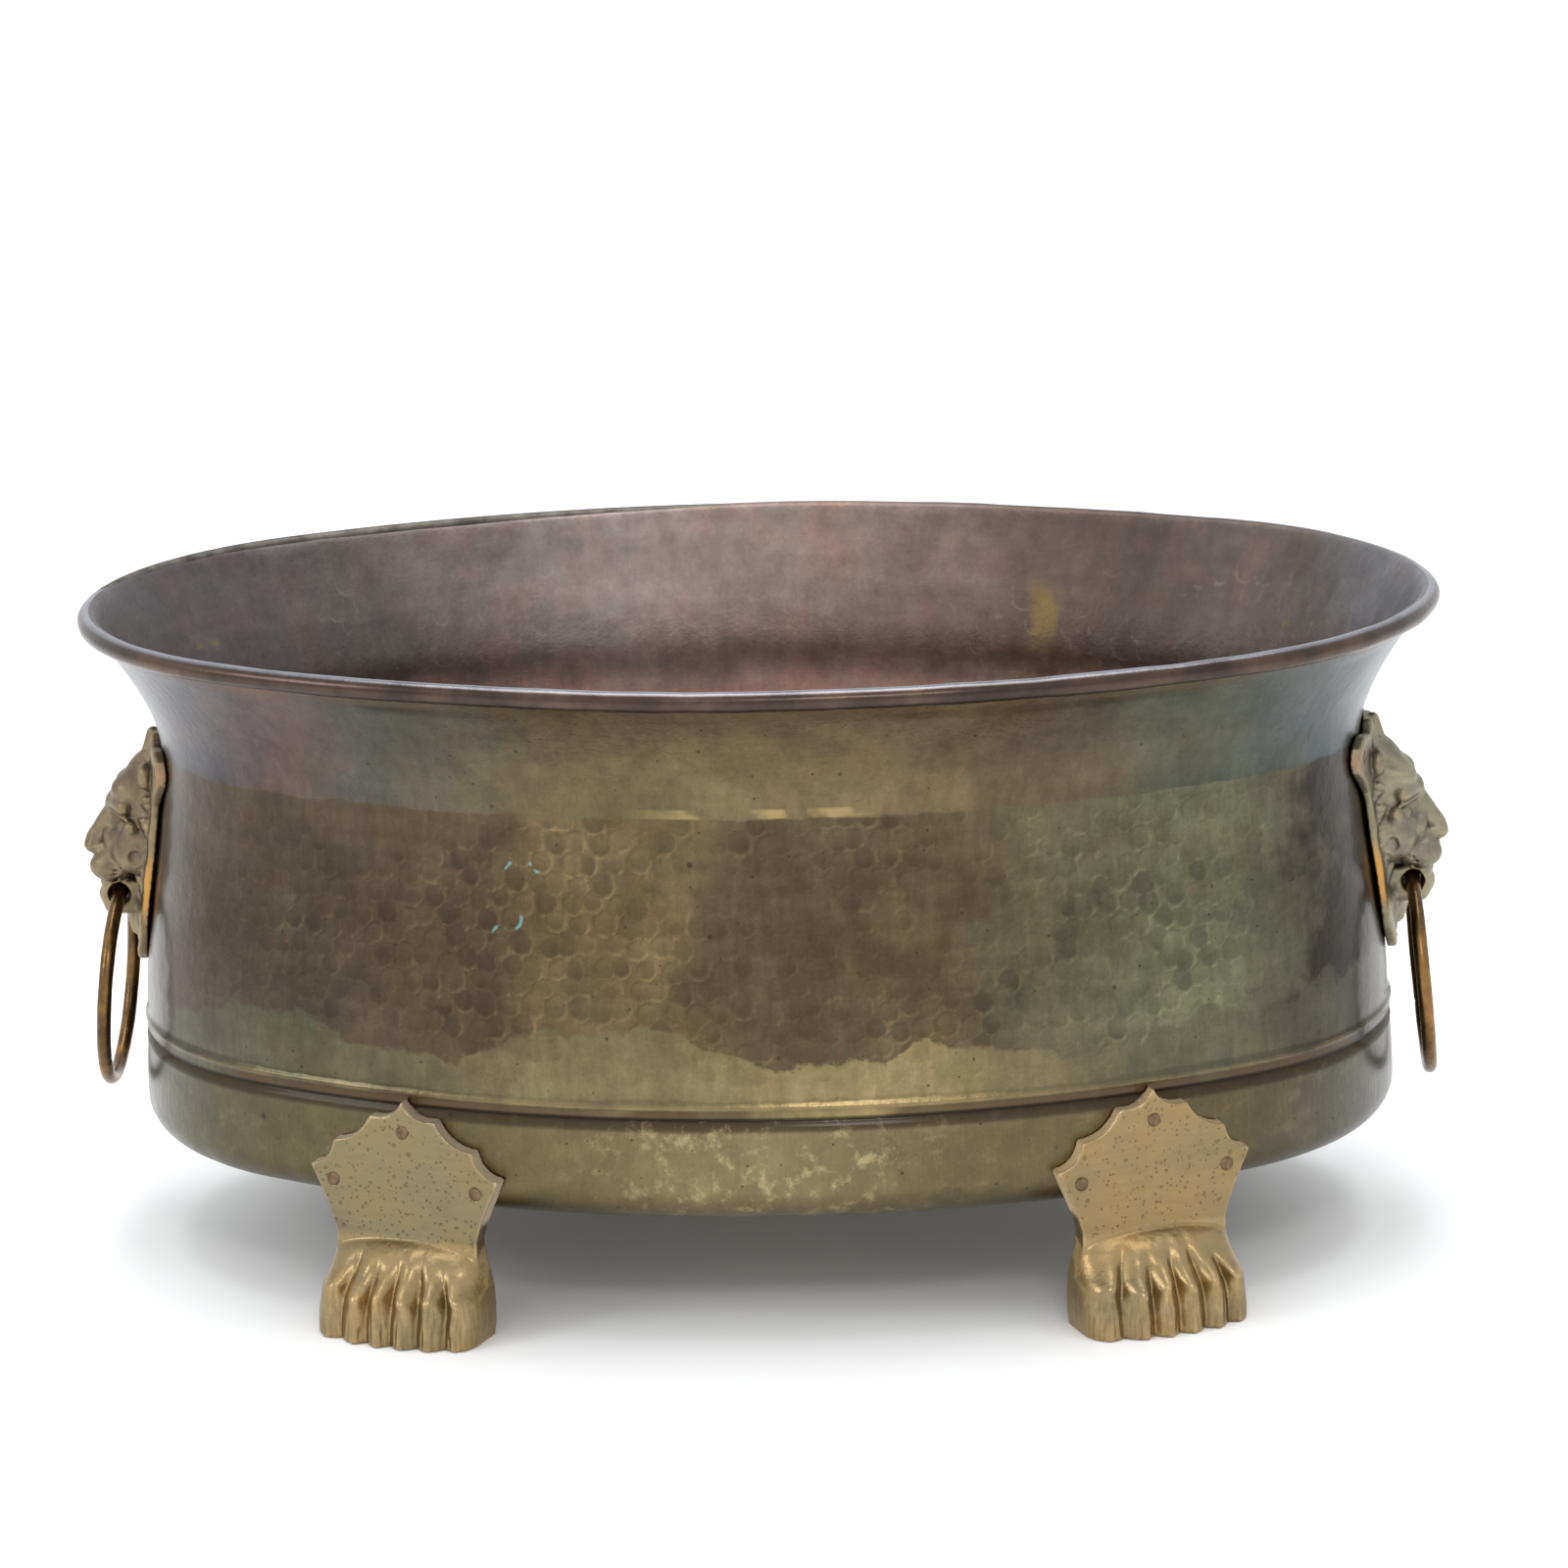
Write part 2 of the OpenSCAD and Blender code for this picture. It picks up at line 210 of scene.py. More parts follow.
def make_object(name, points, faces, materials, indices=None, attributes=None):
    """A smooth-shaded object from points in millimetres."""
    mesh = bpy.data.meshes.new(name)
    mesh.from_pydata((np.asarray(points) * 0.001).tolist(), [], faces)
    mesh.polygons.foreach_set("use_smooth", [True] * len(mesh.polygons))
    for material in materials:
        mesh.materials.append(material)
    if indices is not None:
        mesh.polygons.foreach_set("material_index", np.asarray(indices, np.int32))
    for key, values in (attributes or {}).items():
        layer = mesh.attributes.new(key, "FLOAT", "POINT")
        layer.data.foreach_set("value", np.asarray(values, np.float32).ravel())
    mesh.update()
    return link(name, mesh)


def skin_faces(rows, columns, closed):
    """Quads between rows of points, where each row is a loop. When closed, the
    last row joins the first."""
    i, j = np.meshgrid(np.arange(rows if closed else rows - 1), np.arange(columns), indexing="ij")
    up = (i + 1) % rows
    on = (j + 1) % columns
    quads = np.stack([i * columns + j, i * columns + on, up * columns + on, up * columns + j], -1)
    return quads.reshape(-1, 4)


def surface_nets(field, axes, step):
    """Points and quads of the surface where a field on a grid crosses zero."""
    origin = np.array([axis[0, 0, 0] for axis in axes])
    inside = field < 0
    cells_shape = tuple(n - 1 for n in field.shape)
    corners = list(itertools.product((0, 1), repeat=3))
    count = np.zeros(cells_shape, np.int8)
    for a, b, c in corners:
        count += inside[a:a + cells_shape[0], b:b + cells_shape[1], c:c + cells_shape[2]]
    cells = np.argwhere((count > 0) & (count < 8))
    index = np.full(cells_shape, -1)
    index[tuple(cells.T)] = np.arange(len(cells))
    total = np.zeros((len(cells), 3))
    crossings = np.zeros(len(cells))
    for corner in corners:
        for axis in range(3):
            if corner[axis]:
                continue
            other = tuple(c + (k == axis) for k, c in enumerate(corner))
            low = field[tuple((cells + corner).T)]
            high = field[tuple((cells + other).T)]
            crossed = (low < 0) != (high < 0)
            t = low[crossed] / (low[crossed] - high[crossed])
            place = np.tile(np.array(corner, float), (crossed.sum(), 1))
            place[:, axis] += t
            total[crossed] += place
            crossings[crossed] += 1
    points = origin + (cells + total / crossings[:, None]) * step
    faces = []
    for axis in range(3):
        across = [(axis + 1) % 3, (axis + 2) % 3]
        low = np.moveaxis(inside, axis, 0)[:-1]
        high = np.moveaxis(inside, axis, 0)[1:]
        spots = np.argwhere(low != high)
        outward = low[tuple(spots.T)]
        place = np.zeros_like(spots)
        place[:, [axis] + [k for k in range(3) if k != axis]] = spots
        ring = []
        for u, v in ((0, 0), (1, 0), (1, 1), (0, 1)):
            shifted = place.copy()
            shifted[:, across[0]] -= u
            shifted[:, across[1]] -= v
            ring.append(index[tuple(shifted.T)])
        quads = np.stack(ring, -1)
        quads[~outward] = quads[~outward][:, ::-1]
        faces.append(quads)
    return points, np.concatenate(faces)


def grid(low, high, step):
    """The three coordinates of every point of a grid between two corners."""
    lines = [np.arange(a, b + step, step, dtype=np.float32) for a, b in zip(low, high)]
    return np.meshgrid(*lines, indexing="ij")


# ---- Shapes as distances, negative inside ----

def smooth_min(a, b, k):
    h = np.clip(0.5 + 0.5 * (b - a) / k, 0, 1)
    return mix(b, a, h) - k * h * (1 - h)


def smooth_max(a, b, k):
    return -smooth_min(-a, -b, k)


def joined(field, shapes):
    """A field with shapes joined on, each given with the width of its blend."""
    for shape, blend in shapes:
        field = smooth_min(field, shape, blend)
    return field


def ellipsoid(p, centre, radii):
    q = [(p[i] - centre[i]) / radii[i] for i in range(3)]
    far = np.sqrt(q[0] ** 2 + q[1] ** 2 + q[2] ** 2)
    slope = np.sqrt(sum((q[i] / radii[i]) ** 2 for i in range(3)))
    return far * (far - 1) / np.maximum(slope, 1e-6)


def capsule(p, a, b, radius_a, radius_b):
    ab = [b[i] - a[i] for i in range(3)]
    along = sum((p[i] - a[i]) * ab[i] for i in range(3)) / sum(c * c for c in ab)
    t = np.clip(along, 0, 1)
    gap = np.sqrt(sum((p[i] - a[i] - t * ab[i]) ** 2 for i in range(3)))
    return gap - mix(radius_a, radius_b, t)


def rounded_box(p, centre, half, radius):
    q = [np.abs(p[i] - centre[i]) - (half[i] - radius) for i in range(3)]
    outer = np.sqrt(sum(np.maximum(c, 0) ** 2 for c in q))
    return outer + np.minimum(np.maximum(np.maximum(q[0], q[1]), q[2]), 0) - radius


def polygon(x, y, points):
    """Signed distance from a closed outline."""
    nearest = np.full(x.shape, 1e9, np.float32)
    inside = np.zeros(x.shape, bool)
    for (x0, y0), (x1, y1) in zip(points, points[1:] + points[:1]):
        ex, ey = x1 - x0, y1 - y0
        t = np.clip(((x - x0) * ex + (y - y0) * ey) / (ex * ex + ey * ey), 0, 1)
        nearest = np.minimum(nearest, np.hypot(x - x0 - t * ex, y - y0 - t * ey))
        if y0 != y1:
            crosses = (y0 > y) != (y1 > y)
            inside ^= crosses & (x < x0 + (y - y0) * ex / ey)
    return np.where(inside, -nearest, nearest)


# ---- Material helpers ----

def colour(code):
    """A linear colour from a web colour."""
    parts = [int(code[i:i + 2], 16) / 255 for i in (1, 3, 5)]
    linear = [c / 12.92 if c <= 0.04045 else ((c + 0.055) / 1.055) ** 2.4 for c in parts]
    return (*linear, 1.0)


class Paint:
    """A material in the making: a few short ways to add its nodes."""

    def __init__(self, name, metallic=1.0):
        self.material = bpy.data.materials.new(name)
        self.material.use_nodes = True
        self.tree = self.material.node_tree
        self.tree.nodes.clear()
        self.shader = self.add("BsdfPrincipled", {"Metallic": metallic})
        self.add("OutputMaterial", {"Surface": self.shader.outputs[0]})
        self.place = self.add("TexCoord").outputs["Object"]
        self.x, self.y, self.z = self.add("SeparateXYZ", {"Vector": self.place}).outputs

    def add(self, kind, inputs=None, **settings):
        """A new node, each input given as a value or as another node's output."""
        node = self.tree.nodes.new("ShaderNode" + kind)
        for key, value in settings.items():
            setattr(node, key, value)
        self.plug(node, inputs or {})
        return node

    def plug(self, node, inputs):
        for key, value in inputs.items():
            if isinstance(value, bpy.types.NodeSocket):
                self.tree.links.new(value, node.inputs[key])
            else:
                node.inputs[key].default_value = value

    def vector(self, operation, a, b):
        inputs = {0: a, "Scale" if operation == "SCALE" else 1: b}
        return self.add("VectorMath", inputs, operation=operation).outputs[0]

    def stretched(self, *scale):
        return self.add("Mapping", {"Vector": self.place, "Scale": scale}).outputs[0]

    def noise(self, size, detail=3.0, roughness=0.55, place=None, shift=0.0):
        """Noise with bumps of about a size in metres, from 0 to 1."""
        where = place or self.place
        if shift:
            where = self.vector("ADD", where, (shift, shift, shift))
        node = self.add("TexNoise", {"Vector": where, "Scale": 1 / size, "Detail": detail,
                                     "Roughness": roughness})
        return node.outputs["Fac"]

    def attribute(self, name):
        return self.add("Attribute", attribute_name=name).outputs["Fac"]

    def math(self, operation, a, b=0.0, c=0.0):
        return self.add("Math", {0: a, 1: b, 2: c}, operation=operation).outputs[0]

    def times(self, product, *factors):
        """The product of one or more values."""
        for factor in factors:
            product = self.math("MULTIPLY", product, factor)
        return product

    def linear(self, value, by, plus):
        """A value multiplied by one amount, plus another."""
        return self.math("MULTIPLY_ADD", value, by, plus)

    def away(self, value, place):
        """How far a value lies from a place."""
        return self.math("ABSOLUTE", self.math("SUBTRACT", value, place))

    def step(self, value, low, high, start=0.0, end=1.0):
        """Goes smoothly from start to end as the value passes from low to high."""
        return self.add("MapRange", {0: value, 1: low, 2: high, 3: start, 4: end},
                        interpolation_type="SMOOTHSTEP").outputs[0]

    def mix(self, amount, a, b):
        return self.add("Mix", {0: amount, 6: a, 7: b}, data_type="RGBA").outputs[2]

    def ramp(self, value, *stops):
        node = self.add("ValToRGB", {0: value})
        elements = node.color_ramp.elements
        while len(elements) < len(stops):
            elements.new(1.0)
        for element, (position, code) in zip(elements, stops):
            element.position = position
            element.color = colour(code)
        return node.outputs["Color"]

    def scale(self, base, amount):
        """A colour made darker or lighter."""
        return self.vector("SCALE", base, amount)

    def tint(self, base, amount, by):
        """A colour multiplied by three numbers, as far as an amount."""
        return self.mix(amount, base, self.vector("MULTIPLY", base, by))

    def stain(self, base, code, *amounts):
        """A colour mixed into the base, as far as the product of some amounts."""
        return self.mix(self.times(*amounts), base, colour(code))

    def relit(self, base, factor, *amounts):
        """The base made darker or lighter, as far as the product of some amounts."""
        return self.mix(self.times(*amounts), base, self.scale(base, factor))

    def shade(self, base, *layers):
        """The base made darker and lighter by layers: value, share and start."""
        return self.scale(base, self.times(*(self.linear(*layer) for layer in layers)))

    def specks(self, base, large, small, shift):
        """Dark pits of two sizes, sparse over the base."""
        pits = self.math("MAXIMUM", self.dots(large, 0.0009, shift), self.dots(small, 0.0005, shift + 6))
        return self.stain(base, "#33281b", pits, 0.75)

    def dots(self, size, radius, shift=0.0):
        """Round dots at random: 1 inside one, cells of about a size in metres."""
        where = self.vector("ADD", self.place, (shift, shift, shift))
        cells = self.add("TexVoronoi", {"Vector": where, "Scale": 1 / size})
        limit = self.times(self.noise(size * 0.9, 1.0, shift=shift + 1), 2 * radius / size)
        return self.step(self.math("SUBTRACT", cells.outputs["Distance"], limit), -0.03, 0.03, 1.0, 0.0)

    def along(self, amount):
        """The place along the oval's length, from 0 to 1, its lines made wavy."""
        wave = self.noise(0.045, 4.0, 0.6, shift=41.0)
        wave = self.times(self.math("SUBTRACT", wave, 0.5), amount)
        return self.math("ADD", self.linear(self.x, 1 / 0.6, 0.5), wave)

    def coat(self, weight, roughness):
        self.plug(self.shader, {"Coat Weight": weight, "Coat Roughness": roughness})

    def bump(self, height, distance):
        return self.add("Bump", {"Height": height, "Distance": distance}).outputs[0]

    def finish(self, base, roughness, normal):
        self.plug(self.shader, {"Base Color": base, "Roughness": roughness, "Normal": normal})
        return self.material


# ---- Materials ----

# Heights in metres where a colour starts to change and where it has changed:
# belly to flare, low zone to belly, the wall's lower edge, and the pan's shoulder
NECK_EDGE = (0.2112, 0.2124)
LOW_EDGE = (0.1215, 0.124)
# LIP_EDGE and SHOULDER_EDGE also bound a painted shade under the wall's lip
LIP_EDGE = (0.0932, 0.0942)
SHOULDER_EDGE = (0.0868, 0.0895)


def wall_zones(p, cloud):
    """The wall's colours: a dark belly, a lighter flare and a lighter low zone
    with a wandering edge. The bands along the length mix patina with painted
    reflections. Also says where the belly is."""
    along = p.along(0.16)
    # The belly's light and dark bands along its length are partly patina and partly painted reflection; the
    # sharp dark band near the right end is a painted reflection
    belly = p.ramp(along, (0.06, "#473b31"), (0.2, "#494030"), (0.33, "#524531"), (0.37, "#69583e"),
                   (0.45, "#6b5a3f"), (0.49, "#574935"), (0.63, "#584a34"), (0.69, "#5b563f"),
                   (0.8, "#64634b"), (0.86, "#504c3b"), (0.885, "#281f16"), (0.97, "#332b21"))
    low = p.ramp(along, (0.05, "#4e4941"), (0.2, "#525039"), (0.45, "#766a4c"), (0.55, "#907f57"),
                 (0.75, "#5a5741"), (0.9, "#484437"), (0.97, "#504d4a"))
    # The flare's blue-grey ends are a painted reflection of the sky
    flare = p.ramp(along, (0.04, "#50545b"), (0.13, "#444042"), (0.2, "#5a4a44"), (0.26, "#4f4f47"),
                   (0.34, "#5d553d"), (0.45, "#6a5c42"), (0.56, "#716146"), (0.68, "#60513c"),
                   (0.78, "#50513f"), (0.9, "#3d4548"), (0.97, "#4f5b68"))
    flare = p.scale(flare, p.step(p.z, 0.215, 0.235, 0.92, 1.0))
    wander = p.math("SUBTRACT", cloud, 0.5)
    base = p.mix(p.step(p.linear(wander, 0.006, p.z), *NECK_EDGE), belly, flare)
    broad = p.math("SUBTRACT", p.noise(0.16, 2.0), 0.5)
    low_edge = p.linear(broad, 0.1, p.linear(wander, 0.026, p.z))
    base = p.mix(p.step(low_edge, *LOW_EDGE, 0.85, 0.0), base, low)
    return base, p.times(p.step(p.z, *NECK_EDGE, 1.0, 0.0), p.step(low_edge, *LOW_EDGE))


def mark_light(p, base, stroke, in_belly):
    """Each hammer mark's tone, a painted highlight on one side of its rim and a
    painted shade on the other: clear in some patches, hardly there in others.
    Also says where the painted highlight is."""
    clear = p.times(p.step(p.noise(0.07, 3.0, 0.6, shift=21.0), 0.34, 0.56), p.linear(in_belly, 0.75, 0.25),
                    p.step(p.math("ABSOLUTE", p.x), 0.16, 0.22, 1.0, 0.3))
    mark, lean = p.attribute("mark"), p.attribute("lean")
    edge = p.times(p.step(mark, 0.66, 0.92), p.step(mark, 0.98, 1.14, 1.0, 0.0), clear)
    # Painted highlight on the side of the rim where lean is high, painted shade on the side where it is low
    lit = p.times(edge, p.step(lean, -0.4, 0.8))
    dark = p.times(edge, p.step(lean, 0.1, -0.8))
    tone = p.times(p.step(p.attribute("tone"), -0.3, 0.8), p.step(mark, 0.98, 0.7), clear)
    base = p.relit(base, 1.65, lit, p.step(stroke, 0.4, 0.6, 0.15, 1.0), 0.6)
    base = p.relit(base, 0.5, dark, 0.4)
    base = p.relit(base, 0.55, tone, 0.6)
    return base, lit


def wall_wear_and_highlights(p, base, cloud, lit):
    """Painted highlights along the neck and the swage crest, brightest near the
    middle; brown under the crest and the rim; a painted shade under the wall's
    lower edge; specks; and a few painted cyan glints. Also says where the
    crest's painted highlight is."""
    off_centre = p.away(p.x, 0.01)
    # A painted reflection: bright patches along the neck, near the middle
    base = p.stain(base, "#ab9463", p.step(p.z, 0.2118, 0.2126), p.step(p.z, 0.2165, 0.2155),
                   p.step(p.noise(0.022, 3.0, shift=29.0), 0.46, 0.6),
                   p.step(off_centre, 0.02, 0.06, 0.6, 0.0))
    base = p.stain(base, "#4a3a27", p.step(p.z, 0.0968, 0.0962),
                   p.step(p.noise(0.07, 3.0, 0.6, shift=31.0), 0.34, 0.46), 0.8)
    # Painted shade: the wall's lower edge, where it laps over the pan, darkened to 0.4
    base = p.scale(base, p.step(p.z, *LIP_EDGE, 0.4, 1.0))
    # A painted highlight along the swage crest, brightest near the middle
    crest = p.times(p.step(p.z, 0.0966, 0.0972), p.step(p.z, 0.0990, 0.0984),
                    p.step(cloud, 0.35, 0.6, 0.25, 0.75), p.step(off_centre, 0.03, 0.14, 1.0, 0.4))
    base = p.stain(base, "#8e7956", crest)
    base = p.stain(base, "#5f4322", p.step(p.z, 0.2545, 0.2605),
                   p.step(p.noise(0.06, 3.0, shift=37.0), 0.42, 0.6), 0.45)
    base = p.specks(base, 0.017, 0.008, 51.0)
    base = p.stain(base, "#6e4a3d", p.step(p.noise(0.006, 3.0, 0.6, shift=17.0), 0.66, 0.74),
                   p.step(p.noise(0.08, 2.0, shift=19.0), 0.5, 0.6), 0.4)
    # Painted cyan glints, standing for sky reflections, on a few highlighted mark edges at the left of the
    # front
    base = p.stain(base, "#6fb6b4", p.step(p.away(p.x, -0.1), 0.015, 0.035, 1.0, 0.0),
                   p.step(p.away(p.z, 0.178), 0.012, 0.03, 1.0, 0.0),
                   p.step(lit, 0.3, 0.6), p.dots(0.016, 0.003, 61.0), 0.55)
    return base, crest


def wall_material():
    """Patinated hammered brass."""
    p = Paint("hammered brass")
    p.coat(0.22, 0.14)
    patch = p.noise(0.05, 4.0, 0.6, shift=3.0)
    cloud = p.noise(0.018, 5.0, 0.6, shift=5.0)
    stroke = p.noise(0.0045, 4.0, 0.65, place=p.stretched(1.0, 1.0, 0.18), shift=6.0)
    grain = p.noise(0.009, 4.0, 0.65, place=p.stretched(0.35, 0.35, 1.0), shift=8.0)
    fleck = p.noise(0.0016, 4.0, 0.75, shift=14.0)
    base, in_belly = wall_zones(p, cloud)
    base = p.shade(base, (patch, 0.9, 0.55), (cloud, 0.9, 0.55), (stroke, 0.7, 0.65),
                   (grain, 0.5, 0.75), (fleck, 0.5, 0.75))
    hue = p.step(p.noise(0.03, 4.0, 0.65, shift=27.0), 0.42, 0.62)
    base = p.tint(base, p.times(hue, 0.3), colour("#e8d8c4")[:3])
    base, lit = mark_light(p, base, stroke, in_belly)
    base, crest = wall_wear_and_highlights(p, base, cloud, lit)
    rough = p.linear(crest, -0.08, p.linear(patch, 0.2, 0.22))
    rough = p.math("ADD", rough, p.step(p.z, *LIP_EDGE, 0.3, 0.0))
    fine = p.linear(stroke, 0.5, p.noise(0.0035, 4.0, 0.65, shift=23.0))
    normal = p.bump(p.linear(lit, 0.4, fine), 0.0002)
    return p.finish(base, rough, normal)


def rim_material():
    """The rolled rim: dark brown, with a patchy painted cool-grey highlight along its upward-facing top."""
    p = Paint("rolled rim brass")
    p.coat(0.3, 0.15)
    patch = p.noise(0.03, 4.0, 0.6)
    base = p.ramp(patch, (0.35, "#372e28"), (0.5, "#483b33"), (0.68, "#5d4e3f"))
    normal = p.add("NewGeometry").outputs["Normal"]
    upward = p.add("SeparateXYZ", {"Vector": normal}).outputs["Z"]
    # Painted highlight: the upward-facing top turned cool grey
    base = p.stain(base, "#838590", p.step(upward, 0.72, 0.97), p.step(patch, 0.3, 0.55, 0.45, 0.85))
    rough = p.linear(patch, 0.2, 0.22)
    normal = p.bump(p.noise(0.004, 4.0, 0.6, shift=3.0), 0.0002)
    return p.finish(base, rough, normal)


def inner_material():
    """The inside: copper brown and mauve, blotched and faintly streaked; painted paler low down to make up
    for the shade there, with faint painted highlights on the marks.
    """
    p = Paint("copper brown inside", metallic=0.55)
    patch = p.noise(0.04, 5.0, 0.65, shift=4.0)
    cloud = p.noise(0.014, 5.0, 0.6, shift=5.0)
    streak = p.noise(0.008, 4.0, 0.65, place=p.stretched(1.0, 1.0, 0.22), shift=6.0)
    band = p.noise(0.007, 3.0, 0.6, place=p.stretched(0.15, 0.15, 1.0), shift=11.0)
    base = p.ramp(p.along(0.1), (0.04, "#50494a"), (0.2, "#4c4541"), (0.3, "#625955"), (0.38, "#776c67"),
                  (0.52, "#76645a"), (0.62, "#6b5950"), (0.75, "#483c35"), (0.88, "#534b46"),
                  (0.97, "#66676d"))
    # Painted light: from about 0.2 m down the colour turns pale pink, darker mauve below 0.135 m, both made
    # lighter to make up for the shade deep in the basin
    low = p.step(p.linear(patch, 0.03, p.z), 0.2, 0.225, 1.0, 0.0)
    deep = p.mix(p.step(p.z, 0.135, 0.17), colour("#8e7468"), colour("#e2c2b2"))
    base = p.mix(p.times(low, 0.85), base, deep)
    fleck = p.noise(0.0018, 4.0, 0.7, shift=14.0)
    base = p.shade(base, (patch, 0.9, 0.55), (cloud, 0.7, 0.65), (streak, 0.8, 0.6),
                   (band, 0.5, 0.75), (fleck, 0.4, 0.8))
    pink = p.step(p.noise(0.022, 4.0, 0.65, shift=43.0), 0.45, 0.65)
    base = p.tint(base, p.times(pink, 0.7), (1.12, 0.96, 0.92))
    # Yellow brass where the brown has gone: small patches, and one smear
    yellow = p.step(p.noise(0.03, 3.0, shift=31.0), 0.68, 0.78)
    wobble = p.linear(cloud, 0.024, -0.012)
    across, up = (p.math("ABSOLUTE", p.math("ADD", p.math("SUBTRACT", value, place), wobble))
                  for value, place in ((p.x, 0.116), (p.z, 0.228)))
    smear = p.times(p.step(across, 0.001, 0.009, 1.0, 0.0), p.step(up, 0.003, 0.021, 1.0, 0.0))
    yellow = p.math("MAXIMUM", yellow, p.times(smear, p.step(p.y, 0.0, 0.01)))
    base = p.stain(base, "#8f7430", yellow, 0.45)
    # A faint painted highlight on one side of each mark's rim
    mark = p.attribute("mark")
    edge = p.times(p.step(mark, 0.8, 0.95), p.step(mark, 0.97, 1.1, 1.0, 0.0))
    clear = p.step(p.noise(0.06, 3.0, shift=33.0), 0.45, 0.6)
    lit = p.times(edge, p.step(p.attribute("lean"), -0.1, 0.8), clear)
    base = p.stain(base, "#b3a095", lit, 0.12)
    rough = p.linear(patch, 0.2, 0.34)
    normal = p.bump(p.noise(0.004, 4.0, 0.65, shift=8.0), 0.0003)
    return p.finish(base, rough, normal)


def pan_material():
    """The smooth low band: olive, with a painted bright reflection in patches near the middle and a painted
    shade under the wall's lip, finely scratched.
    """
    p = Paint("pan brass")
    p.coat(0.22, 0.14)
    patch = p.noise(0.03, 4.0, 0.6, shift=2.0)
    cloud = p.noise(0.012, 5.0, 0.6, shift=7.0)
    base = p.ramp(p.along(0.14), (0.04, "#535248"), (0.18, "#585138"), (0.36, "#61583b"), (0.5, "#7d7151"),
                  (0.64, "#655c40"), (0.82, "#554d34"), (0.96, "#52504a"))
    fleck = p.noise(0.0016, 4.0, 0.75, shift=14.0)
    scratch = p.noise(0.0012, 3.0, 0.7, place=p.stretched(1.0, 1.0, 0.05), shift=9.0)
    base = p.shade(base, (patch, 0.85, 0.52), (cloud, 0.6, 0.67), (fleck, 0.4, 0.8), (scratch, 0.35, 0.825))
    # Painted shade under the wall's lip: the pan's shoulder darkened and browned
    base = p.scale(base, p.step(p.z, *SHOULDER_EDGE, 1.0, 0.7))
    base = p.stain(base, "#4a3c2a", p.step(p.z, 0.087, 0.09, 0.0, 0.65))
    # A painted reflection: bright patches near the middle, standing for the floor's reflection
    rubbed = p.noise(0.009, 5.0, 0.75, shift=17.0)
    middle = p.step(p.away(p.x, 0.01), 0.02, 0.09, 1.0, 0.12)
    painted_reflection = p.times(p.step(rubbed, 0.5, 0.7), middle)
    base = p.stain(base, "#b2a277", painted_reflection, 0.7)
    spot = p.step(p.noise(0.012, 4.0, 0.7, shift=15.0), 0.66, 0.74)
    base = p.stain(base, "#54452f", spot, 0.5)
    base = p.specks(base, 0.016, 0.007, 53.0)
    rough = p.linear(patch, 0.22, p.step(p.z, 0.0865, 0.0885, 0.22, 0.6))
    height = p.linear(p.noise(0.006, 4.0, 0.6, shift=12.0), 1.0, p.times(scratch, 0.3))
    normal = p.bump(height, 0.00025)
    return p.finish(base, rough, normal)


def foot_material():
    """Cast brass, filed and brushed: light gold, pitted, dark in the grooves, with the plate's side faces
    painted pale as a painted highlight.
    """
    p = Paint("cast foot brass")
    wide = p.noise(0.03, 3.0)
    base = p.ramp(wide, (0.36, "#8d7b5b"), (0.5, "#99845f"), (0.64, "#a0875c"))
    brush = p.noise(0.0022, 3.0, 0.65, place=p.stretched(0.12, 0.12, 1.0), shift=7.0)
    base = p.shade(base, (brush, 0.3, 0.85))
    zone = p.step(p.noise(0.02, 3.0, shift=5.0), 0.36, 0.52, 0.55, 1.0)
    plate = p.step(p.z, 0.036, 0.041)
    base = p.shade(base, (plate, -0.21, 1.03))
    small = p.times(p.dots(0.0023, 0.0004, 5.0), zone)
    large = p.times(p.dots(0.0052, 0.0008, 9.0), zone)
    pit = p.times(p.math("MAXIMUM", small, p.times(large, 0.7)), p.linear(plate, 0.75, 0.25))
    base = p.stain(base, "#5f4528", pit, 0.58)
    # Painted highlight: the plate's side faces painted pale, as if lit
    edge = p.attribute("edge")
    base = p.stain(base, "#f6dcb4", edge, 0.9)
    striae = p.noise(0.0014, 3.0, 0.7, place=p.stretched(1.0, 1.0, 0.06), shift=13.0)
    striae = p.times(p.math("SUBTRACT", striae, 0.5), p.step(p.z, 0.026, 0.016))
    base = p.shade(base, (striae, 1.3, 1.0))
    base = p.tint(base, p.times(plate, p.step(p.x, 0.05, -0.05)), (0.82, 0.91, 1.08))
    hollow = p.attribute("hollow")
    base = p.stain(base, "#54402c", p.step(hollow, 0.1, 0.8, 0.0, 0.6))
    worn = p.step(hollow, -0.12, -0.8, 0.0, 0.65)
    base = p.stain(base, "#c8ab84", worn)
    rough = p.linear(wide, 0.16, 0.25)
    rough = p.linear(worn, -0.08, rough)
    rough = p.linear(edge, 0.28, rough)
    height = p.math("SUBTRACT", p.linear(brush, 0.25, p.noise(0.003, 3.0, shift=9.0)),
                    p.times(pit, 1.2))
    normal = p.bump(height, 0.00018)
    return p.finish(base, rough, normal)


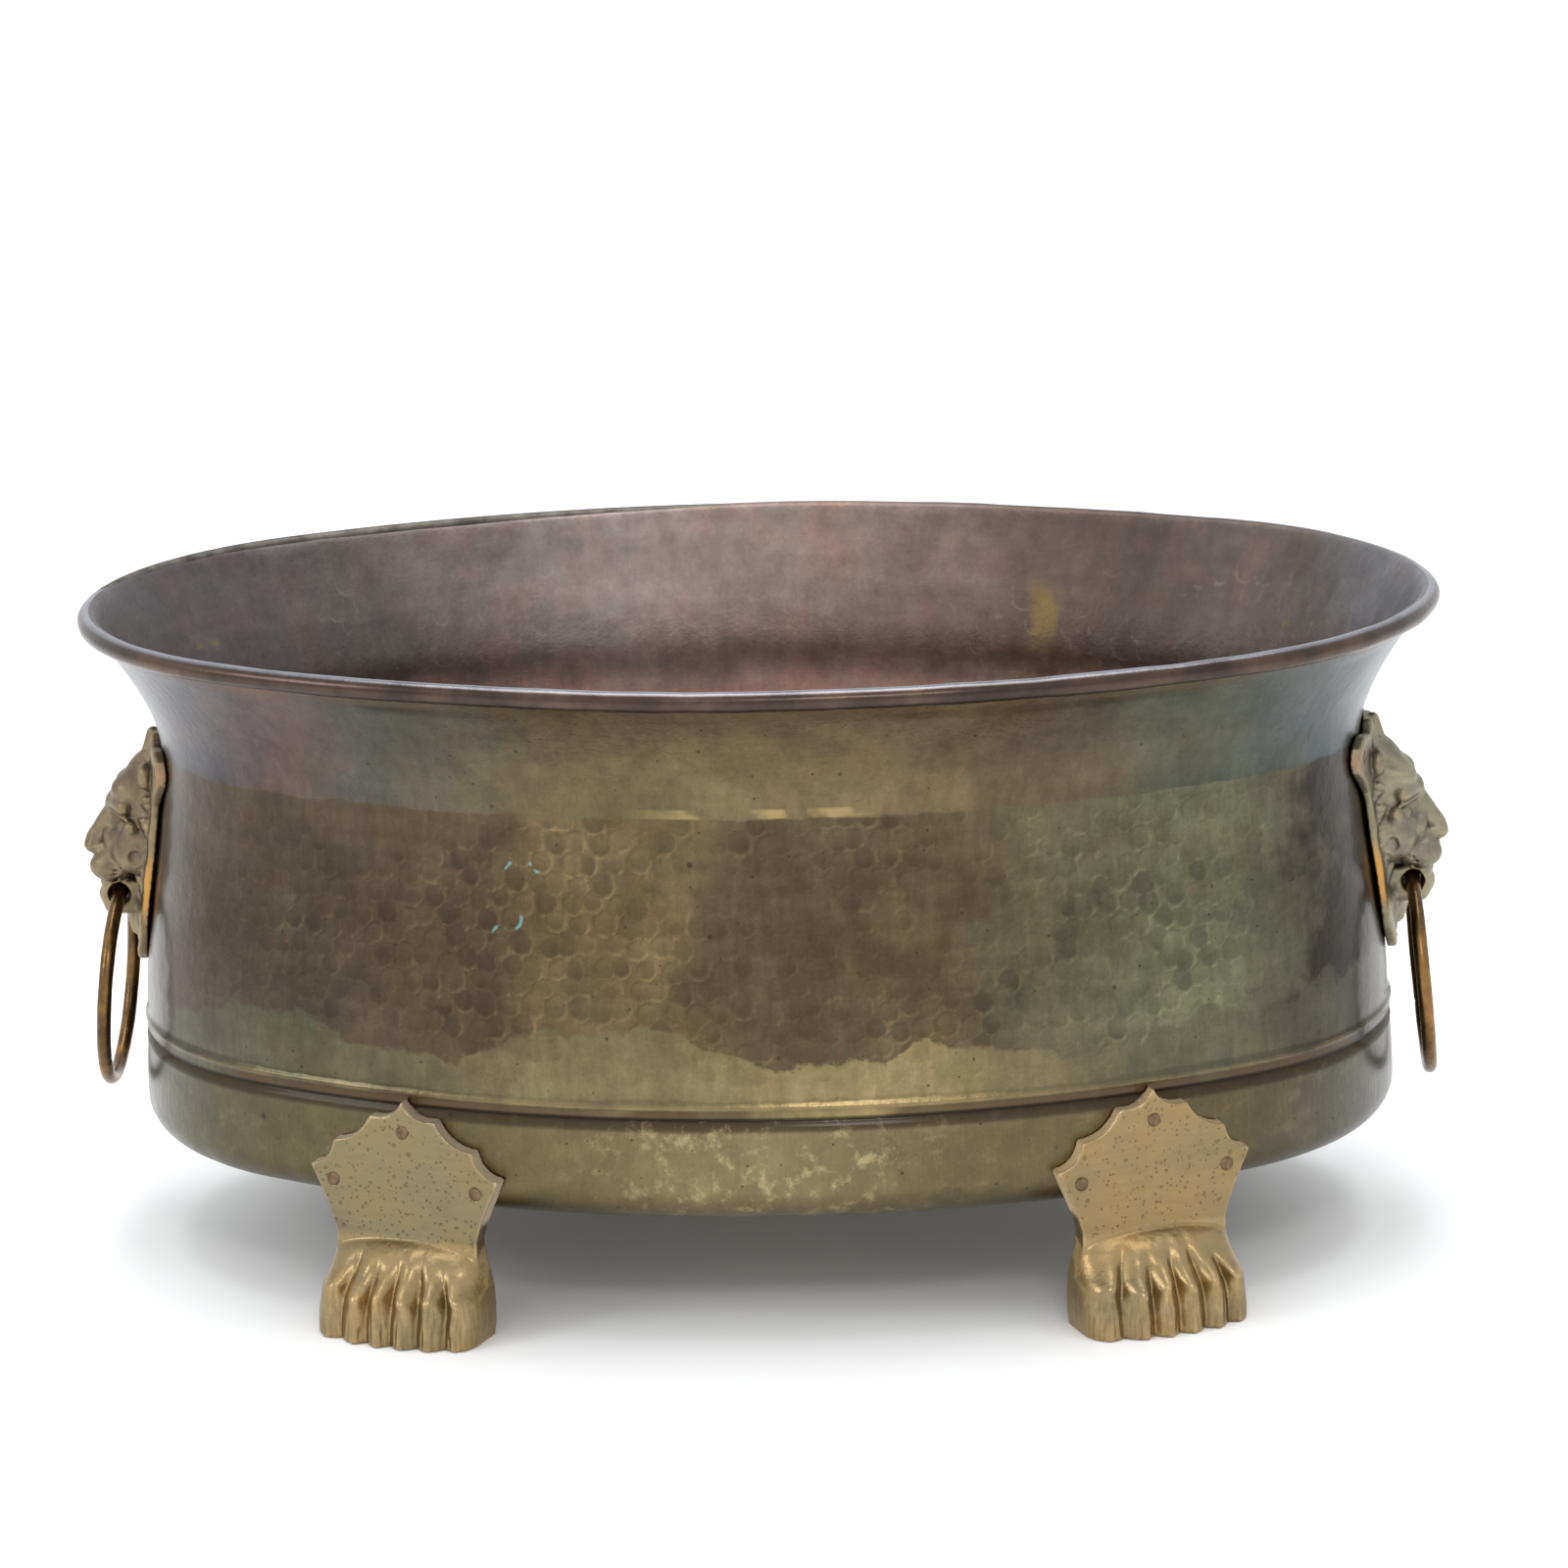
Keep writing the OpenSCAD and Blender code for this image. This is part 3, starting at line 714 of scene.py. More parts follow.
def mask_material():
    """Cast brass gone grey-olive, dark in the hollows, gold where the ring and
    hands have rubbed the plate's edge."""
    p = Paint("cast mask brass")
    wide = p.noise(0.02, 4.0, 0.6)
    fine = p.noise(0.004, 4.0, 0.65, shift=5.0)
    base = p.ramp(wide, (0.35, "#736e60"), (0.5, "#89836e"), (0.65, "#979078"))
    base = p.shade(base, (fine, 0.5, 0.75))
    left = p.step(p.x, 0.05, -0.05)
    base = p.tint(base, left, (0.86, 0.75, 0.66))
    hollow = p.attribute("hollow")
    base = p.stain(base, "#56524b", p.step(hollow, 0.08, 0.8, 0.0, 0.8))
    base = p.stain(base, "#a5905f", p.step(hollow, -0.15, -0.9, 0.0, 0.5))
    side = p.math("ABSOLUTE", p.y)
    rubbed = p.times(p.step(p.z, 0.134, 0.148), p.step(p.z, 0.17, 0.157), p.step(hollow, 0.05, -0.45),
                     p.step(side, 0.0185, 0.021))
    base = p.stain(base, "#bd8b48", rubbed, 0.85)
    base = p.stain(base, "#a3705a", p.step(p.away(p.z, 0.2035), 0.0, 0.008, 0.4, 0.0),
                   p.step(side, 0.022, 0.036))
    rough = p.linear(wide, 0.2, 0.34)
    rough = p.linear(rubbed, -0.12, rough)
    normal = p.bump(p.noise(0.0022, 4.0, 0.65, shift=3.0), 0.0003)
    return p.finish(base, rough, normal)


def plain_metal(name, size, stops, rough, grain, depth):
    """A metal that is alike all over: softly blotched, with a fine grain."""
    p = Paint(name)
    wide = p.noise(*size)
    base = p.ramp(wide, *stops)
    return p.finish(base, p.linear(wide, *rough), p.bump(p.noise(*grain), depth))


def ring_material():
    stops = (0.35, "#513e2b"), (0.5, "#6b5236"), (0.66, "#8d6c42")
    return plain_metal("ring brass", (0.018, 4.0, 0.6), stops, (0.15, 0.2),
                       (0.002, 3.0, 0.55, None, 3.0), 0.00012)


def copper_material():
    stops = (0.35, "#5e4a39"), (0.5, "#705b48"), (0.66, "#806850")
    return plain_metal("copper", (0.003, 3.0), stops, (0.2, 0.28), (0.0012, 3.0, 0.55, None, 3.0), 0.0001)


def wire_material():
    stops = (0.35, "#4a4541"), (0.65, "#6f6a64")
    return plain_metal("iron wire", (0.01, 3.0), stops, (0.2, 0.45), (0.001, 3.0), 0.0001)


def solder_material():
    stops = (0.35, "#7c7b76"), (0.65, "#a4a39d")
    return plain_metal("tin solder", (0.008, 3.0), stops, (0.2, 0.4), (0.003, 3.0), 0.0004)


def floor_material():
    p = Paint("pale floor", metallic=0.0)
    base = p.ramp(p.noise(0.4, 2.0), (0.3, "#fafafa"), (0.7, "#fcfcfc"))
    rough = p.linear(p.noise(0.2, 2.0), 0.1, 0.75)
    normal = p.bump(p.noise(0.01, 2.0), 0.00005)
    return p.finish(base, rough, normal)


# ---- Hammer marks ----

# How near a point is to its mark's edge, as a share of the mark's radius; this
# value, past every edge, says that there is no mark
NO_MARK = 2.0


def hammer(s, z, rng, low, high, pitch, depths, missing):
    """Round hammer marks over rows of points: how deep each point lies, how
    near it is to its mark's edge, the mark's tone, and on which side it is."""
    depth, tone, lean = np.zeros((3, len(z), len(s)))
    near = np.full((len(z), len(s)), NO_MARK)
    per_row = int(PERIMETER / pitch)
    for row, row_z in enumerate(np.arange(low, high, pitch * 0.88)):
        for i in range(per_row):
            if rng.random() < missing:
                continue
            at_s = (i + 0.5 * (row % 2) + rng.uniform(-0.22, 0.22)) * PERIMETER / per_row
            at_z = row_z + rng.uniform(-0.2, 0.2) * pitch
            radius = pitch * rng.uniform(0.44, 0.58)
            mark_depth = rng.uniform(*depths)
            mark_tone = rng.uniform(-1, 1)
            rows = np.flatnonzero(np.abs(z - at_z) < 1.3 * radius)
            if not len(rows):
                continue
            on = (s - at_s + PERIMETER / 2) % PERIMETER - PERIMETER / 2
            columns = np.flatnonzero(np.abs(on) < 1.3 * radius)
            block = np.ix_(rows, columns)
            on, up = np.meshgrid(on[columns], z[rows] - at_z)
            d = np.hypot(on, up) / radius
            cap = mark_depth * (1 - d ** 2)
            deeper = cap > depth[block]
            depth[block] = np.maximum(depth[block], cap)
            nearer = deeper | ((d < near[block]) & (near[block] > 1))
            near[block] = np.where(nearer, d, near[block])
            tone[block] = np.where(nearer & (d < 1), mark_tone, tone[block])
            # Which side of the mark a point lies on; the materials paint a highlight on one side of the rim
            # and shade on the other
            side = (on * 0.6 - up * 0.8) / radius
            lean[block] = np.where(nearer, side, lean[block])
    return depth, near, tone, lean


def dents(s, z, rng, count, radii, depths):
    """Wide shallow dents at random places over rows of points."""
    depth = np.zeros((len(z), len(s)))
    for _ in range(count):
        at_s = rng.uniform(0, PERIMETER)
        at_z = rng.uniform(z.min(), z.max())
        radius = rng.uniform(*radii)
        away = way_round(s, at_s)
        rows = np.flatnonzero(np.abs(z - at_z) < radius)
        columns = np.flatnonzero(away < radius)
        if not len(rows) or not len(columns):
            continue
        block = np.ix_(rows, columns)
        d = np.hypot(away[columns], (z[rows] - at_z)[:, None]) / radius
        depth[block] += rng.uniform(*depths) * np.clip(1 - d ** 2, 0, 1) ** 2
    return depth


# ---- Basin wall ----

WALL_COLUMNS = 960
WALL_SEED = 41
INNER_TURN = math.radians(151)
RIM_TURN = math.radians(96)
STRAIGHT_FROM_Z = 238.0

# The material of a row of faces, and the mark, tone and lean of a plain row
OUTER, BEAD, INNER = 0, 1, 2
PLAIN = (NO_MARK, 0.0, 0.0)

# Marks: lowest and highest row, spacing, range of depths, share left out
BELLY_MARKS = (103, NECK_Z - 1, 9.4, (0.1, 0.3), 0.06)
FLARE_MARKS = (NECK_Z + 3, RIM_Z - 6, 10.5, (0.02, 0.07), 0.3)
INNER_MARKS = (110, RIM_Z - 8, 10, (0.05, 0.16), 0.2)
# Dents: how many, range of radii, range of depths
OUTER_DENTS = (260, (9, 22), (0.08, 0.28))
INNER_DENTS = (160, (12, 26), (0.05, 0.2))


def rim_dip(s):
    """How far the hand-made rim dips below its highest line."""
    away = way_round(s, round_distance(-150, 130))
    wave = 0.5 + 0.3 * np.sin(2 * np.pi * 3 * s / PERIMETER + 0.6)
    wave += 0.2 * np.sin(2 * np.pi * 7 * s / PERIMETER + 2.0)
    return wave + 3.2 * np.exp(-((away / 130) ** 2))


def rim_pinch(s):
    """How far the rim stands in from its widest line."""
    wave = 0.5 + 0.25 * np.sin(2 * np.pi * 5 * s / PERIMETER + 1.0)
    return wave + 0.25 * np.sin(2 * np.pi * 11 * s / PERIMETER)


def bead_junction():
    """The angle round the bead where the flare's outer face runs into it."""
    z = np.linspace(NECK_Z + 40, RIM_Z, 400)
    out = wall_out(z)
    k = np.flatnonzero(np.hypot(out - RIM_OUT, z - RIM_Z) < BEAD_R)[0]
    return math.atan2(z[k] - RIM_Z, out[k] - RIM_OUT), z[k]


def edge_rows():
    """The wall's lower edge, its lap over the pan, and the swage crest."""
    line = [(LAP_IN, 96.0), (LAP_IN, LIP_Z + 0.2), (-2.2, LIP_Z), (-0.95, LIP_Z), (-0.62, LIP_Z + 0.3),
            (-0.6, 94.0), (-0.62, 95.6), (-0.35, 96.8), (0.0, 97.5), (0.0, 97.9), (-0.4, 98.6),
            (-0.95, 99.4)]
    return [(out, z, OUTER, *PLAIN) for out, z in line]


def outer_rows(s, rng, top):
    """The outer face up to the bead: hammered, but on the flare hardly."""
    heights = np.concatenate([np.arange(100.4, NECK_Z, 1.35), np.arange(NECK_Z, top - 0.5, 2.0), [top]])
    depth, near, tone, lean = hammer(s, heights, rng, *BELLY_MARKS)
    depth = depth + hammer(s, heights, rng, *FLARE_MARKS)[0] + dents(s, heights, rng, *OUTER_DENTS)
    near = np.where(heights[:, None] > NECK_Z + 1, NO_MARK, near)
    ends = smoothstep(170, 225, np.abs(oval(s, 0, 0)[:, 0]))
    depth = depth * mix(1.0, 0.3, ends)
    rows = []
    for k, z in enumerate(heights):
        base = oval(s, 0, z)
        sway = 0.35 * noise(base, 55, 5) + 0.14 * noise(base, 19, 6)
        fade = 1 if z < heights[-4] else 0
        out = wall_out(z) - (depth[k] + 0.3) * fade + sway * fade
        rows.append((out, z, OUTER, near[k], tone[k], lean[k]))
    return rows


def rim_rows(s, start):
    """The rolled rim, from the flare's outer face over to the inside."""
    rows = []
    for turn in np.linspace(start + 0.12, INNER_TURN, 21):
        ripple = 0.22 * noise(np.stack([s, s * 0 + 3 * turn, s * 0], -1), 14, 8) - 0.22
        out = RIM_OUT + (BEAD_R + ripple) * math.cos(turn)
        z = RIM_Z + (BEAD_R + ripple) * math.sin(turn)
        rows.append((out, z, BEAD if turn < RIM_TURN else INNER, *PLAIN))
    return rows


def inner_rows(s, rng):
    """The inner face, with faint marks. The sheet rolls outward, so at the top
    this face runs straight into the rim."""
    heights = np.concatenate([np.arange(267.6, 150, -2.2), np.arange(150, 109, -5.0)])
    depth, near, tone, lean = hammer(s, heights, rng, *INNER_MARKS)
    depth = depth + dents(s, heights, rng, *INNER_DENTS)
    outer_z = np.linspace(105, RIM_Z, 600)
    slope = np.gradient(wall_out(outer_z), outer_z)
    face_out = wall_out(outer_z) - SHEET / np.hypot(1, slope)
    face_z = outer_z + SHEET * slope / np.hypot(1, slope)
    roll_out = RIM_OUT + BEAD_R * math.cos(INNER_TURN)
    roll_z = RIM_Z + BEAD_R * math.sin(INNER_TURN)
    start_out = np.interp(STRAIGHT_FROM_Z, face_z, face_out)
    rows = []
    for k, z in enumerate(heights):
        part = (z - STRAIGHT_FROM_Z) / (roll_z - STRAIGHT_FROM_Z)
        out = mix(start_out, roll_out, part) if part > 0 else np.interp(z, face_z, face_out)
        out = out + (depth[k] * 0.8 - 0.1) * (z < 262)
        rows.append((out, z, INNER, near[k], tone[k], lean[k]))
    rows.append((LAP_IN, PAN_TOP_Z + 4, INNER, *PLAIN))
    return rows


def build_wall(outer_material, bead_material, inside_material):
    s = np.arange(WALL_COLUMNS) * PERIMETER / WALL_COLUMNS
    rng = np.random.default_rng(WALL_SEED)
    angle, top = bead_junction()
    rows = edge_rows() + outer_rows(s, rng, top) + rim_rows(s, angle) + inner_rows(s, rng)
    columns = list(zip(*rows))
    kinds = np.array(columns.pop(2))
    out, z, marks, tones, leans = (
        np.stack([np.broadcast_to(value, WALL_COLUMNS) for value in column]) for column in columns)
    reach = np.clip((z - NECK_Z) / (RIM_Z - NECK_Z), 0, 1) ** 1.4
    z = z - reach * rim_dip(s)
    out = out - reach * rim_pinch(s)
    crest = np.exp(-((z - SWAGE_Z) / 4) ** 2)
    z = z + crest * 0.25 * noise(np.stack([s, s * 0, s * 0], -1), 40, 9)
    points = oval(s, out, z)
    faces = skin_faces(len(kinds), WALL_COLUMNS, True)
    wall = make_object(
        "basin_wall_hammered", points.reshape(-1, 3), faces.tolist(),
        [outer_material, bead_material, inside_material], kinds[faces[:, 0] // WALL_COLUMNS],
        {"mark": marks, "tone": tones, "lean": leans})
    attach(wall, "pot")
    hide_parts("basin_wall")


# ---- Pan ----

PAN_COLUMNS = 640
PAN_SEED = 12
UNDERSIDE_Z = FLOOR_Z + 0.3
PAN_DENTS = (90, (7, 20), (0.1, 0.4))


def corner_arc(radius, count):
    """The rounded corner from the side down to the floor, at a radius."""
    return [(PAN_OUT - CORNER_R + radius * math.cos(a), FLOOR_Z + CORNER_R - radius * math.sin(a))
            for a in np.linspace(0, math.pi / 2, count)]


def floor_ring(s, z, share):
    """A ring on the floor: the corner's line drawn in to a share of its size."""
    ring = oval(s, PAN_OUT - CORNER_R, z)
    ring[:, :2] *= share
    ring[:, 2] += 0.5 * noise(ring, 60, 3) * (1 - share)
    return ring


def build_pan(material, inside_material):
    s = np.arange(PAN_COLUMNS) * PERIMETER / PAN_COLUMNS
    rng = np.random.default_rng(PAN_SEED)
    side = [(LAP_IN - 0.05, PAN_TOP_Z), (LAP_IN - 0.05, 98.0), (LAP_IN - 0.05, 92.6), (-1.7, 91.2),
            (-0.7, 89.9), (-0.3, 88.6), (-0.1, 86.6), (0.05, 84.4), (0.2, 82.2), (0.35, 80.0),
            (0.48, 77.6), (0.58, 75.2), (0.66, 72.8), (0.72, 70.4), (0.77, 68.0), (0.8, 65.6)]
    outer = side + corner_arc(CORNER_R, 16)
    inner = corner_arc(CORNER_R - SHEET, 10)[::-1]
    inner += [(-1.0, 72.0), (-1.2, 82.0), (-1.9, 88.4), (-3.4, 91.0), (LAP_IN - SHEET, 93.0),
              (LAP_IN - SHEET, PAN_TOP_Z)]
    depth = dents(s, np.array([z for _, z in outer]), rng, *PAN_DENTS)
    shares = [0.06, 0.2, 0.35, 0.5, 0.65, 0.78, 0.88, 0.95]
    rings = [floor_ring(s, UNDERSIDE_Z, share) for share in shares]
    for (out, z), dent in zip(reversed(outer), reversed(depth)):
        fade = 1 if z < 88 else 0
        sway = (0.3 * noise(oval(s, 0, z), 45, 2) - 0.3) * fade
        rings.append(oval(s, out - dent * fade + sway, z))
    kinds = [0] * len(rings)
    rings += [oval(s, out, z) for out, z in reversed(inner)]
    rings += [floor_ring(s, FLOOR_Z + SHEET, share) for share in reversed(shares)]
    kinds += [1] * (len(rings) - len(kinds))
    points = np.concatenate(rings)
    faces = skin_faces(len(rings), PAN_COLUMNS, False)
    kind_of = np.array(kinds)[faces[:, 0] // PAN_COLUMNS].tolist()
    faces = faces.tolist()
    low_middle, high_middle = len(points), len(points) + 1
    points = np.concatenate([points, [[0, 0, UNDERSIDE_Z], [0, 0, FLOOR_Z + SHEET]]])
    last = (len(rings) - 1) * PAN_COLUMNS
    for j in range(PAN_COLUMNS):
        k = (j + 1) % PAN_COLUMNS
        faces.append([low_middle, k, j])
        kind_of.append(0)
        faces.append([high_middle, last + j, last + k])
        kind_of.append(1)
    pan = make_object("pan_raised", points, faces, [material, inside_material], kind_of,
                      {"mark": np.full(len(points), NO_MARK)})
    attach(pan, "pot")
    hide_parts("bottom_pan")


# ---- Rivets ----

RIVET_SIDES = 28


def rivet_mesh(grip, seed):
    """A rivet along -Y, its outer end at the origin, a little proud and worn."""
    profile = [(0.0, 0.1), (0.9, 0.1), (1.7, 0.08), (2.3, 0.03), (HEAD_R, -0.08), (HEAD_R, -0.6),
               (SHANK_R, -1.4), (SHANK_R, -grip), (2 * SHANK_R, -grip), (2.02 * SHANK_R, -grip - 0.6),
               (1.7 * SHANK_R, -grip - 1.3), (1.1 * SHANK_R, -grip - 1.9), (0.0, -grip - 2.1)]
    turns = [2 * math.pi * j / RIVET_SIDES for j in range(RIVET_SIDES)]
    points = np.array([(radius * math.cos(a), -height, radius * math.sin(a))
                       for radius, height in profile for a in turns])
    points += noise(points, 1.6, seed)[:, None] * np.array([0.12, 0.04, 0.12])
    # Each face's corners the other way round, so that it faces outward
    faces = skin_faces(len(profile), RIVET_SIDES, False)[:, [0, 3, 2, 1]]
    return points, faces.tolist()


def build_rivets(name, spots, material):
    """One piece of several rivets: each spot is a matrix and a grip."""
    points, faces = [], []
    for seed, (place, grip) in enumerate(spots):
        p, f = rivet_mesh(grip, seed + 3)
        start = sum(len(q) for q in points)
        points.append(np.array([place @ Vector(v) for v in p]))
        faces += [[start + k for k in face] for face in f]
    piece = make_object(name + "_worn", np.concatenate(points), faces, [material])
    clean_mesh(piece.data)
    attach(piece, "pot")
    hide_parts(name)


def clean_mesh(mesh):
    """Joins points that coincide, drops empty faces, and turns faces outward."""
    b = bmesh.new()
    b.from_mesh(mesh)
    bmesh.ops.remove_doubles(b, verts=b.verts, dist=1e-6)
    bmesh.ops.dissolve_degenerate(b, edges=b.edges, dist=1e-6)
    bmesh.ops.recalc_face_normals(b, faces=b.faces)
    b.to_mesh(mesh)
    b.free()


# ---- Feet ----

FOOT_STEP = 0.62
HOLLOW_PASSES = 14
DISH_R = 2.85
SCALLOP_DEPTH = 3.1


def at_foot(x_side, y_side):
    """From a foot's own frame, outward along -Y, to the whole model's."""
    turn = Matrix.Rotation(0 if y_side < 0 else math.pi, 4, "Z")
    swing = Matrix.Rotation(math.radians(-y_side * (x_side * FOOT_ANGLE + FOOT_SHIFT)), 4, "Z")
    return (turn @ Matrix.Translation((0, SIDE_CENTRE, 0)) @ swing
            @ Matrix.Translation((0, -SIDE_RADIUS - PAN_OUT, 0)))


def plate_field(u, v, z):
    """The flat back plate with its scalloped top, hugging the pan."""
    tips = [(0, PLATE_TOP_Z), (14.5, PLATE_TOP_Z - 7), (31, PLATE_TOP_Z - 18.5), (42, PLATE_TOP_Z - 29.5)]
    waist = [(36.2, 54), (33, 46), (31.2, ANKLE_Z + 2), (31, ANKLE_Z - 6)]
    right = [(x + (0.5 if x else 0), y + 1.5) for x, y in tips] + waist
    outline = right + [(-x, y) for x, y in reversed(right) if x]
    across = np.abs(u)
    field = polygon(u, z, outline)
    for (x0, z0), (x1, z1) in zip(tips, tips[1:]):
        chord = math.hypot(x1 - x0, z1 - z0)
        radius = (chord ** 2 / 4 + SCALLOP_DEPTH ** 2) / (2 * SCALLOP_DEPTH)
        out_x, out_z = (z0 - z1) / chord, (x1 - x0) / chord
        centre_x = (x0 + x1) / 2 + out_x * (radius - SCALLOP_DEPTH)
        centre_z = (z0 + z1) / 2 + out_z * (radius - SCALLOP_DEPTH)
        bite = radius - np.hypot(across - centre_x, z - centre_z)
        field = smooth_max(field, bite, 1.8)
    line_z = [0, FLOOR_Z, 56, 63.4, 82.5, 89.5, 92.2, 92.6, 97.7, 100]
    line_out = [-6, -4, -2, 0, -0.5, -1.3, -2.2, -1.4, -0.8, -1.7]
    pan_face = np.maximum(np.interp(z, line_z, line_out) - u ** 2 / (2 * SIDE_RADIUS), -3.0)
    field = smooth_max(field, v - PLATE_FRONT - 0.15 * np.sin(u * 0.11 + z * 0.07), 0.9)
    field = np.maximum(field, pan_face + 0.1 - v)
    return smooth_max(field, ANKLE_Z - 6 - z, 0.8)


# Ridges from side to side, and creases: place, lean, and height of the top
TOES = [-28.5, -14.5, -4.0, 7.0, 18.5, 29.5]
CREASES = [(-31.0, 0.6, 9), (-25.5, -0.5, 13), (-16.5, 0.7, 12), (-11.5, 0.4, 9), (-5.6, -0.6, 14),
           (-1.2, 0.5, 10), (5.0, 0.8, 15), (8.6, -0.6, 9), (16.0, 0.5, 10), (20.4, 0.9, 14),
           (27.0, -0.5, 8), (31.0, 0.4, 12)]


def paw_front(u, z):
    """How far out the paw's front stands: it rolls out of the plate at the
    ankle, spreads as tendons to the knuckles, and drops as claws."""
    part = np.clip((z + 1.5 * (u / 31) ** 2) / (ANKLE_Z + 0.4), 0, 1)
    out = PLATE_FRONT - 0.6 + (PAW_REACH - PLATE_FRONT) * (1 - part ** 2.3) ** 0.8
    out = out - 7 * (u / PAW_HALF) ** 2 - 4 * (np.abs(u) / PAW_HALF) ** 8
    spread = mix(0.76, 1.0, smoothstep(38, 13, z))
    knots = [-PAW_HALF - 3.5]
    for a, b in zip(TOES, TOES[1:]):
        knots += [a, (a + b) / 2]
    knots += [TOES[-1], PAW_HALF + 3.5]
    phase = np.interp(u / spread, knots, np.arange(len(knots)) / 2 - 0.5)
    ridge = np.sqrt(0.985 * np.cos(np.pi * phase) ** 2 + 0.015)
    start = 36.5 + 1.8 * np.sin(2.3 * phase + 0.6)
    deep = 5.4 * smoothstep(start, start - 15, z) * mix(0.85, 1.0, smoothstep(8, 20, z))
    out = out - deep * (1 - ridge)
    knuckle = 19.5 + 1.6 * np.sin(2.9 * phase + 1.1)
    out = out + 2.0 * ridge * np.exp(-(((z - knuckle) / 3.3) ** 2))
    out = out - 1.3 * np.exp(-(((z - knuckle - 8) / 4.0) ** 2)) * (0.4 + 0.6 * ridge)
    for at, lean, top in CREASES:
        away = (u - at - lean * z / top) / 0.6
        out = out - 0.7 * np.exp(-(away ** 2)) * smoothstep(top, top - 4, z)
    return np.minimum(out, PAW_REACH - 0.2) - 1.1 * np.clip(1 - z / 1.8, 0, 1) ** 2


def paw_field(u, v, z):
    """The paw: its front, its sides, its top under the plate and its back."""
    flat = paw_front(u[:, :1, :], z[:, :1, :])
    field = (v - flat) / 1.4
    side_z = [0, 6, 14, 21, 28, 34, 38, 40]
    side_u = [34.4, 35.3, PAW_HALF, 35.0, 33.5, 31.7, 31.2, 31.1]
    side = np.abs(u) - np.interp(z, side_z, side_u)
    field = smooth_max(field, side, 4.0)
    field = np.maximum(field, z - ANKLE_Z - 0.4)
    return np.maximum(field, -3.0 - v)


def hollowness(points, faces):
    """How far each point lies below the smoothed surface round it."""
    faces = np.asarray(faces)
    a = np.concatenate([faces[:, i] for i in range(4)])
    b = np.concatenate([faces[:, (i + 1) % 4] for i in range(4)])
    count = np.bincount(a, minlength=len(points)) + np.bincount(b, minlength=len(points))
    smooth = points.copy()
    for _ in range(HOLLOW_PASSES):
        total = np.stack([
            np.bincount(a, smooth[b, k], len(points)) + np.bincount(b, smooth[a, k], len(points))
            for k in range(3)], -1)
        smooth = 0.4 * smooth + 0.6 * total / count[:, None]
    normal = np.zeros_like(points)
    corner = points[faces]
    face_normal = np.cross(corner[:, 2] - corner[:, 0], corner[:, 3] - corner[:, 1])
    for i in range(4):
        np.add.at(normal, faces[:, i], face_normal)
    normal /= np.linalg.norm(normal, axis=1, keepdims=True) + 1e-9
    return np.sum((smooth - points) * normal, axis=1)


def build_feet(material):
    u, v, z = grid((-44.5, -5, -1.5), (44.5, 33, 99), FOOT_STEP)
    field = smooth_min(plate_field(u, v, z), paw_field(u, v, z), 1.6)
    for at_u, at_z in FOOT_RIVETS:
        dish = np.maximum(np.hypot(u - at_u, z - at_z) - DISH_R, PLATE_FRONT - 0.35 - v)
        field = np.maximum(field, -dish)
    field = np.maximum(field, -z + 0.02)
    points, faces = surface_nets(field, (u, v, z), FOOT_STEP)
    hollow = np.clip(hollowness(points, faces) / 0.8, -1, 1)
    rough = noise(points, 5, 3) * 0.10 + noise(points, 2.2, 4) * 0.05
    points[:, 1] += rough * smoothstep(PLATE_FRONT + 1, PLATE_FRONT + 4, points[:, 1])
    # Where the plate's side faces are, for their painted highlight
    edge = smoothstep(PLATE_FRONT - 0.2, PLATE_FRONT - 1.0, points[:, 1])
    edge *= smoothstep(45, 50, points[:, 2])
    local = np.stack([points[:, 0], -points[:, 1], np.maximum(points[:, 2], 0)], -1)
    faces = faces[:, ::-1].tolist()
    for name, sides in FOOT_PLACES.items():
        place = np.array(at_foot(*sides))
        world = local @ place[:3, :3].T + place[:3, 3]
        foot = make_object("paw_foot_" + name, world, faces, [material], None,
                           {"hollow": hollow, "edge": edge})
        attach(foot, "pot")
        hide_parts("foot_" + name)


def build_foot_rivets(material):
    for name, sides in FOOT_PLACES.items():
        spots = []
        for at_u, at_z in FOOT_RIVETS:
            grip = PLATE_FRONT + PAN_OUT + SHEET + at_u ** 2 / (2 * SIDE_RADIUS)
            grip += 0.2 if at_u == 0 else 1.2
            place = at_foot(*sides) @ Matrix.Translation((at_u, -PLATE_FRONT, at_z))
            spots.append((place, grip))
        build_rivets("foot_rivets_" + name, spots, material)


# ---- Lion masks ----

MASK_STEP = 0.6
MASK_DISH_R = 3.1


def mask_plate_field(x, y, z):
    """The back plate: an outline with side lobes, hugging the wall."""
    right = [(7.5, MASK_LOW_Z), (13.5, 121.5), (19, 128.5), (22, 136), (23, 142.5), (23, 182), (26, 188),
             (32, 194), (37, 199), (38.4, 204), (36.5, 209), (31, 212.5), (25, 212.5), (18, 210.5),
             (12, 210.5), (8, 214.5)]
    outline = right + [(-a, b) for a, b in reversed(right)]
    field = polygon(y, z, outline)
    out = np.hypot(x - END_CENTRE, y) - END_RADIUS - wall_out(z)
    gap = 0.8 * smoothstep(122, 140, z) * smoothstep(200, 185, z) * np.clip(np.abs(y) / 23, 0, 1) ** 2
    gap = 0.1 + gap
    field = smooth_max(field, out - MASK_T + 0.2 * np.sin(z * 0.35), 1.6)
    return smooth_max(field, gap - out, 0.5), out


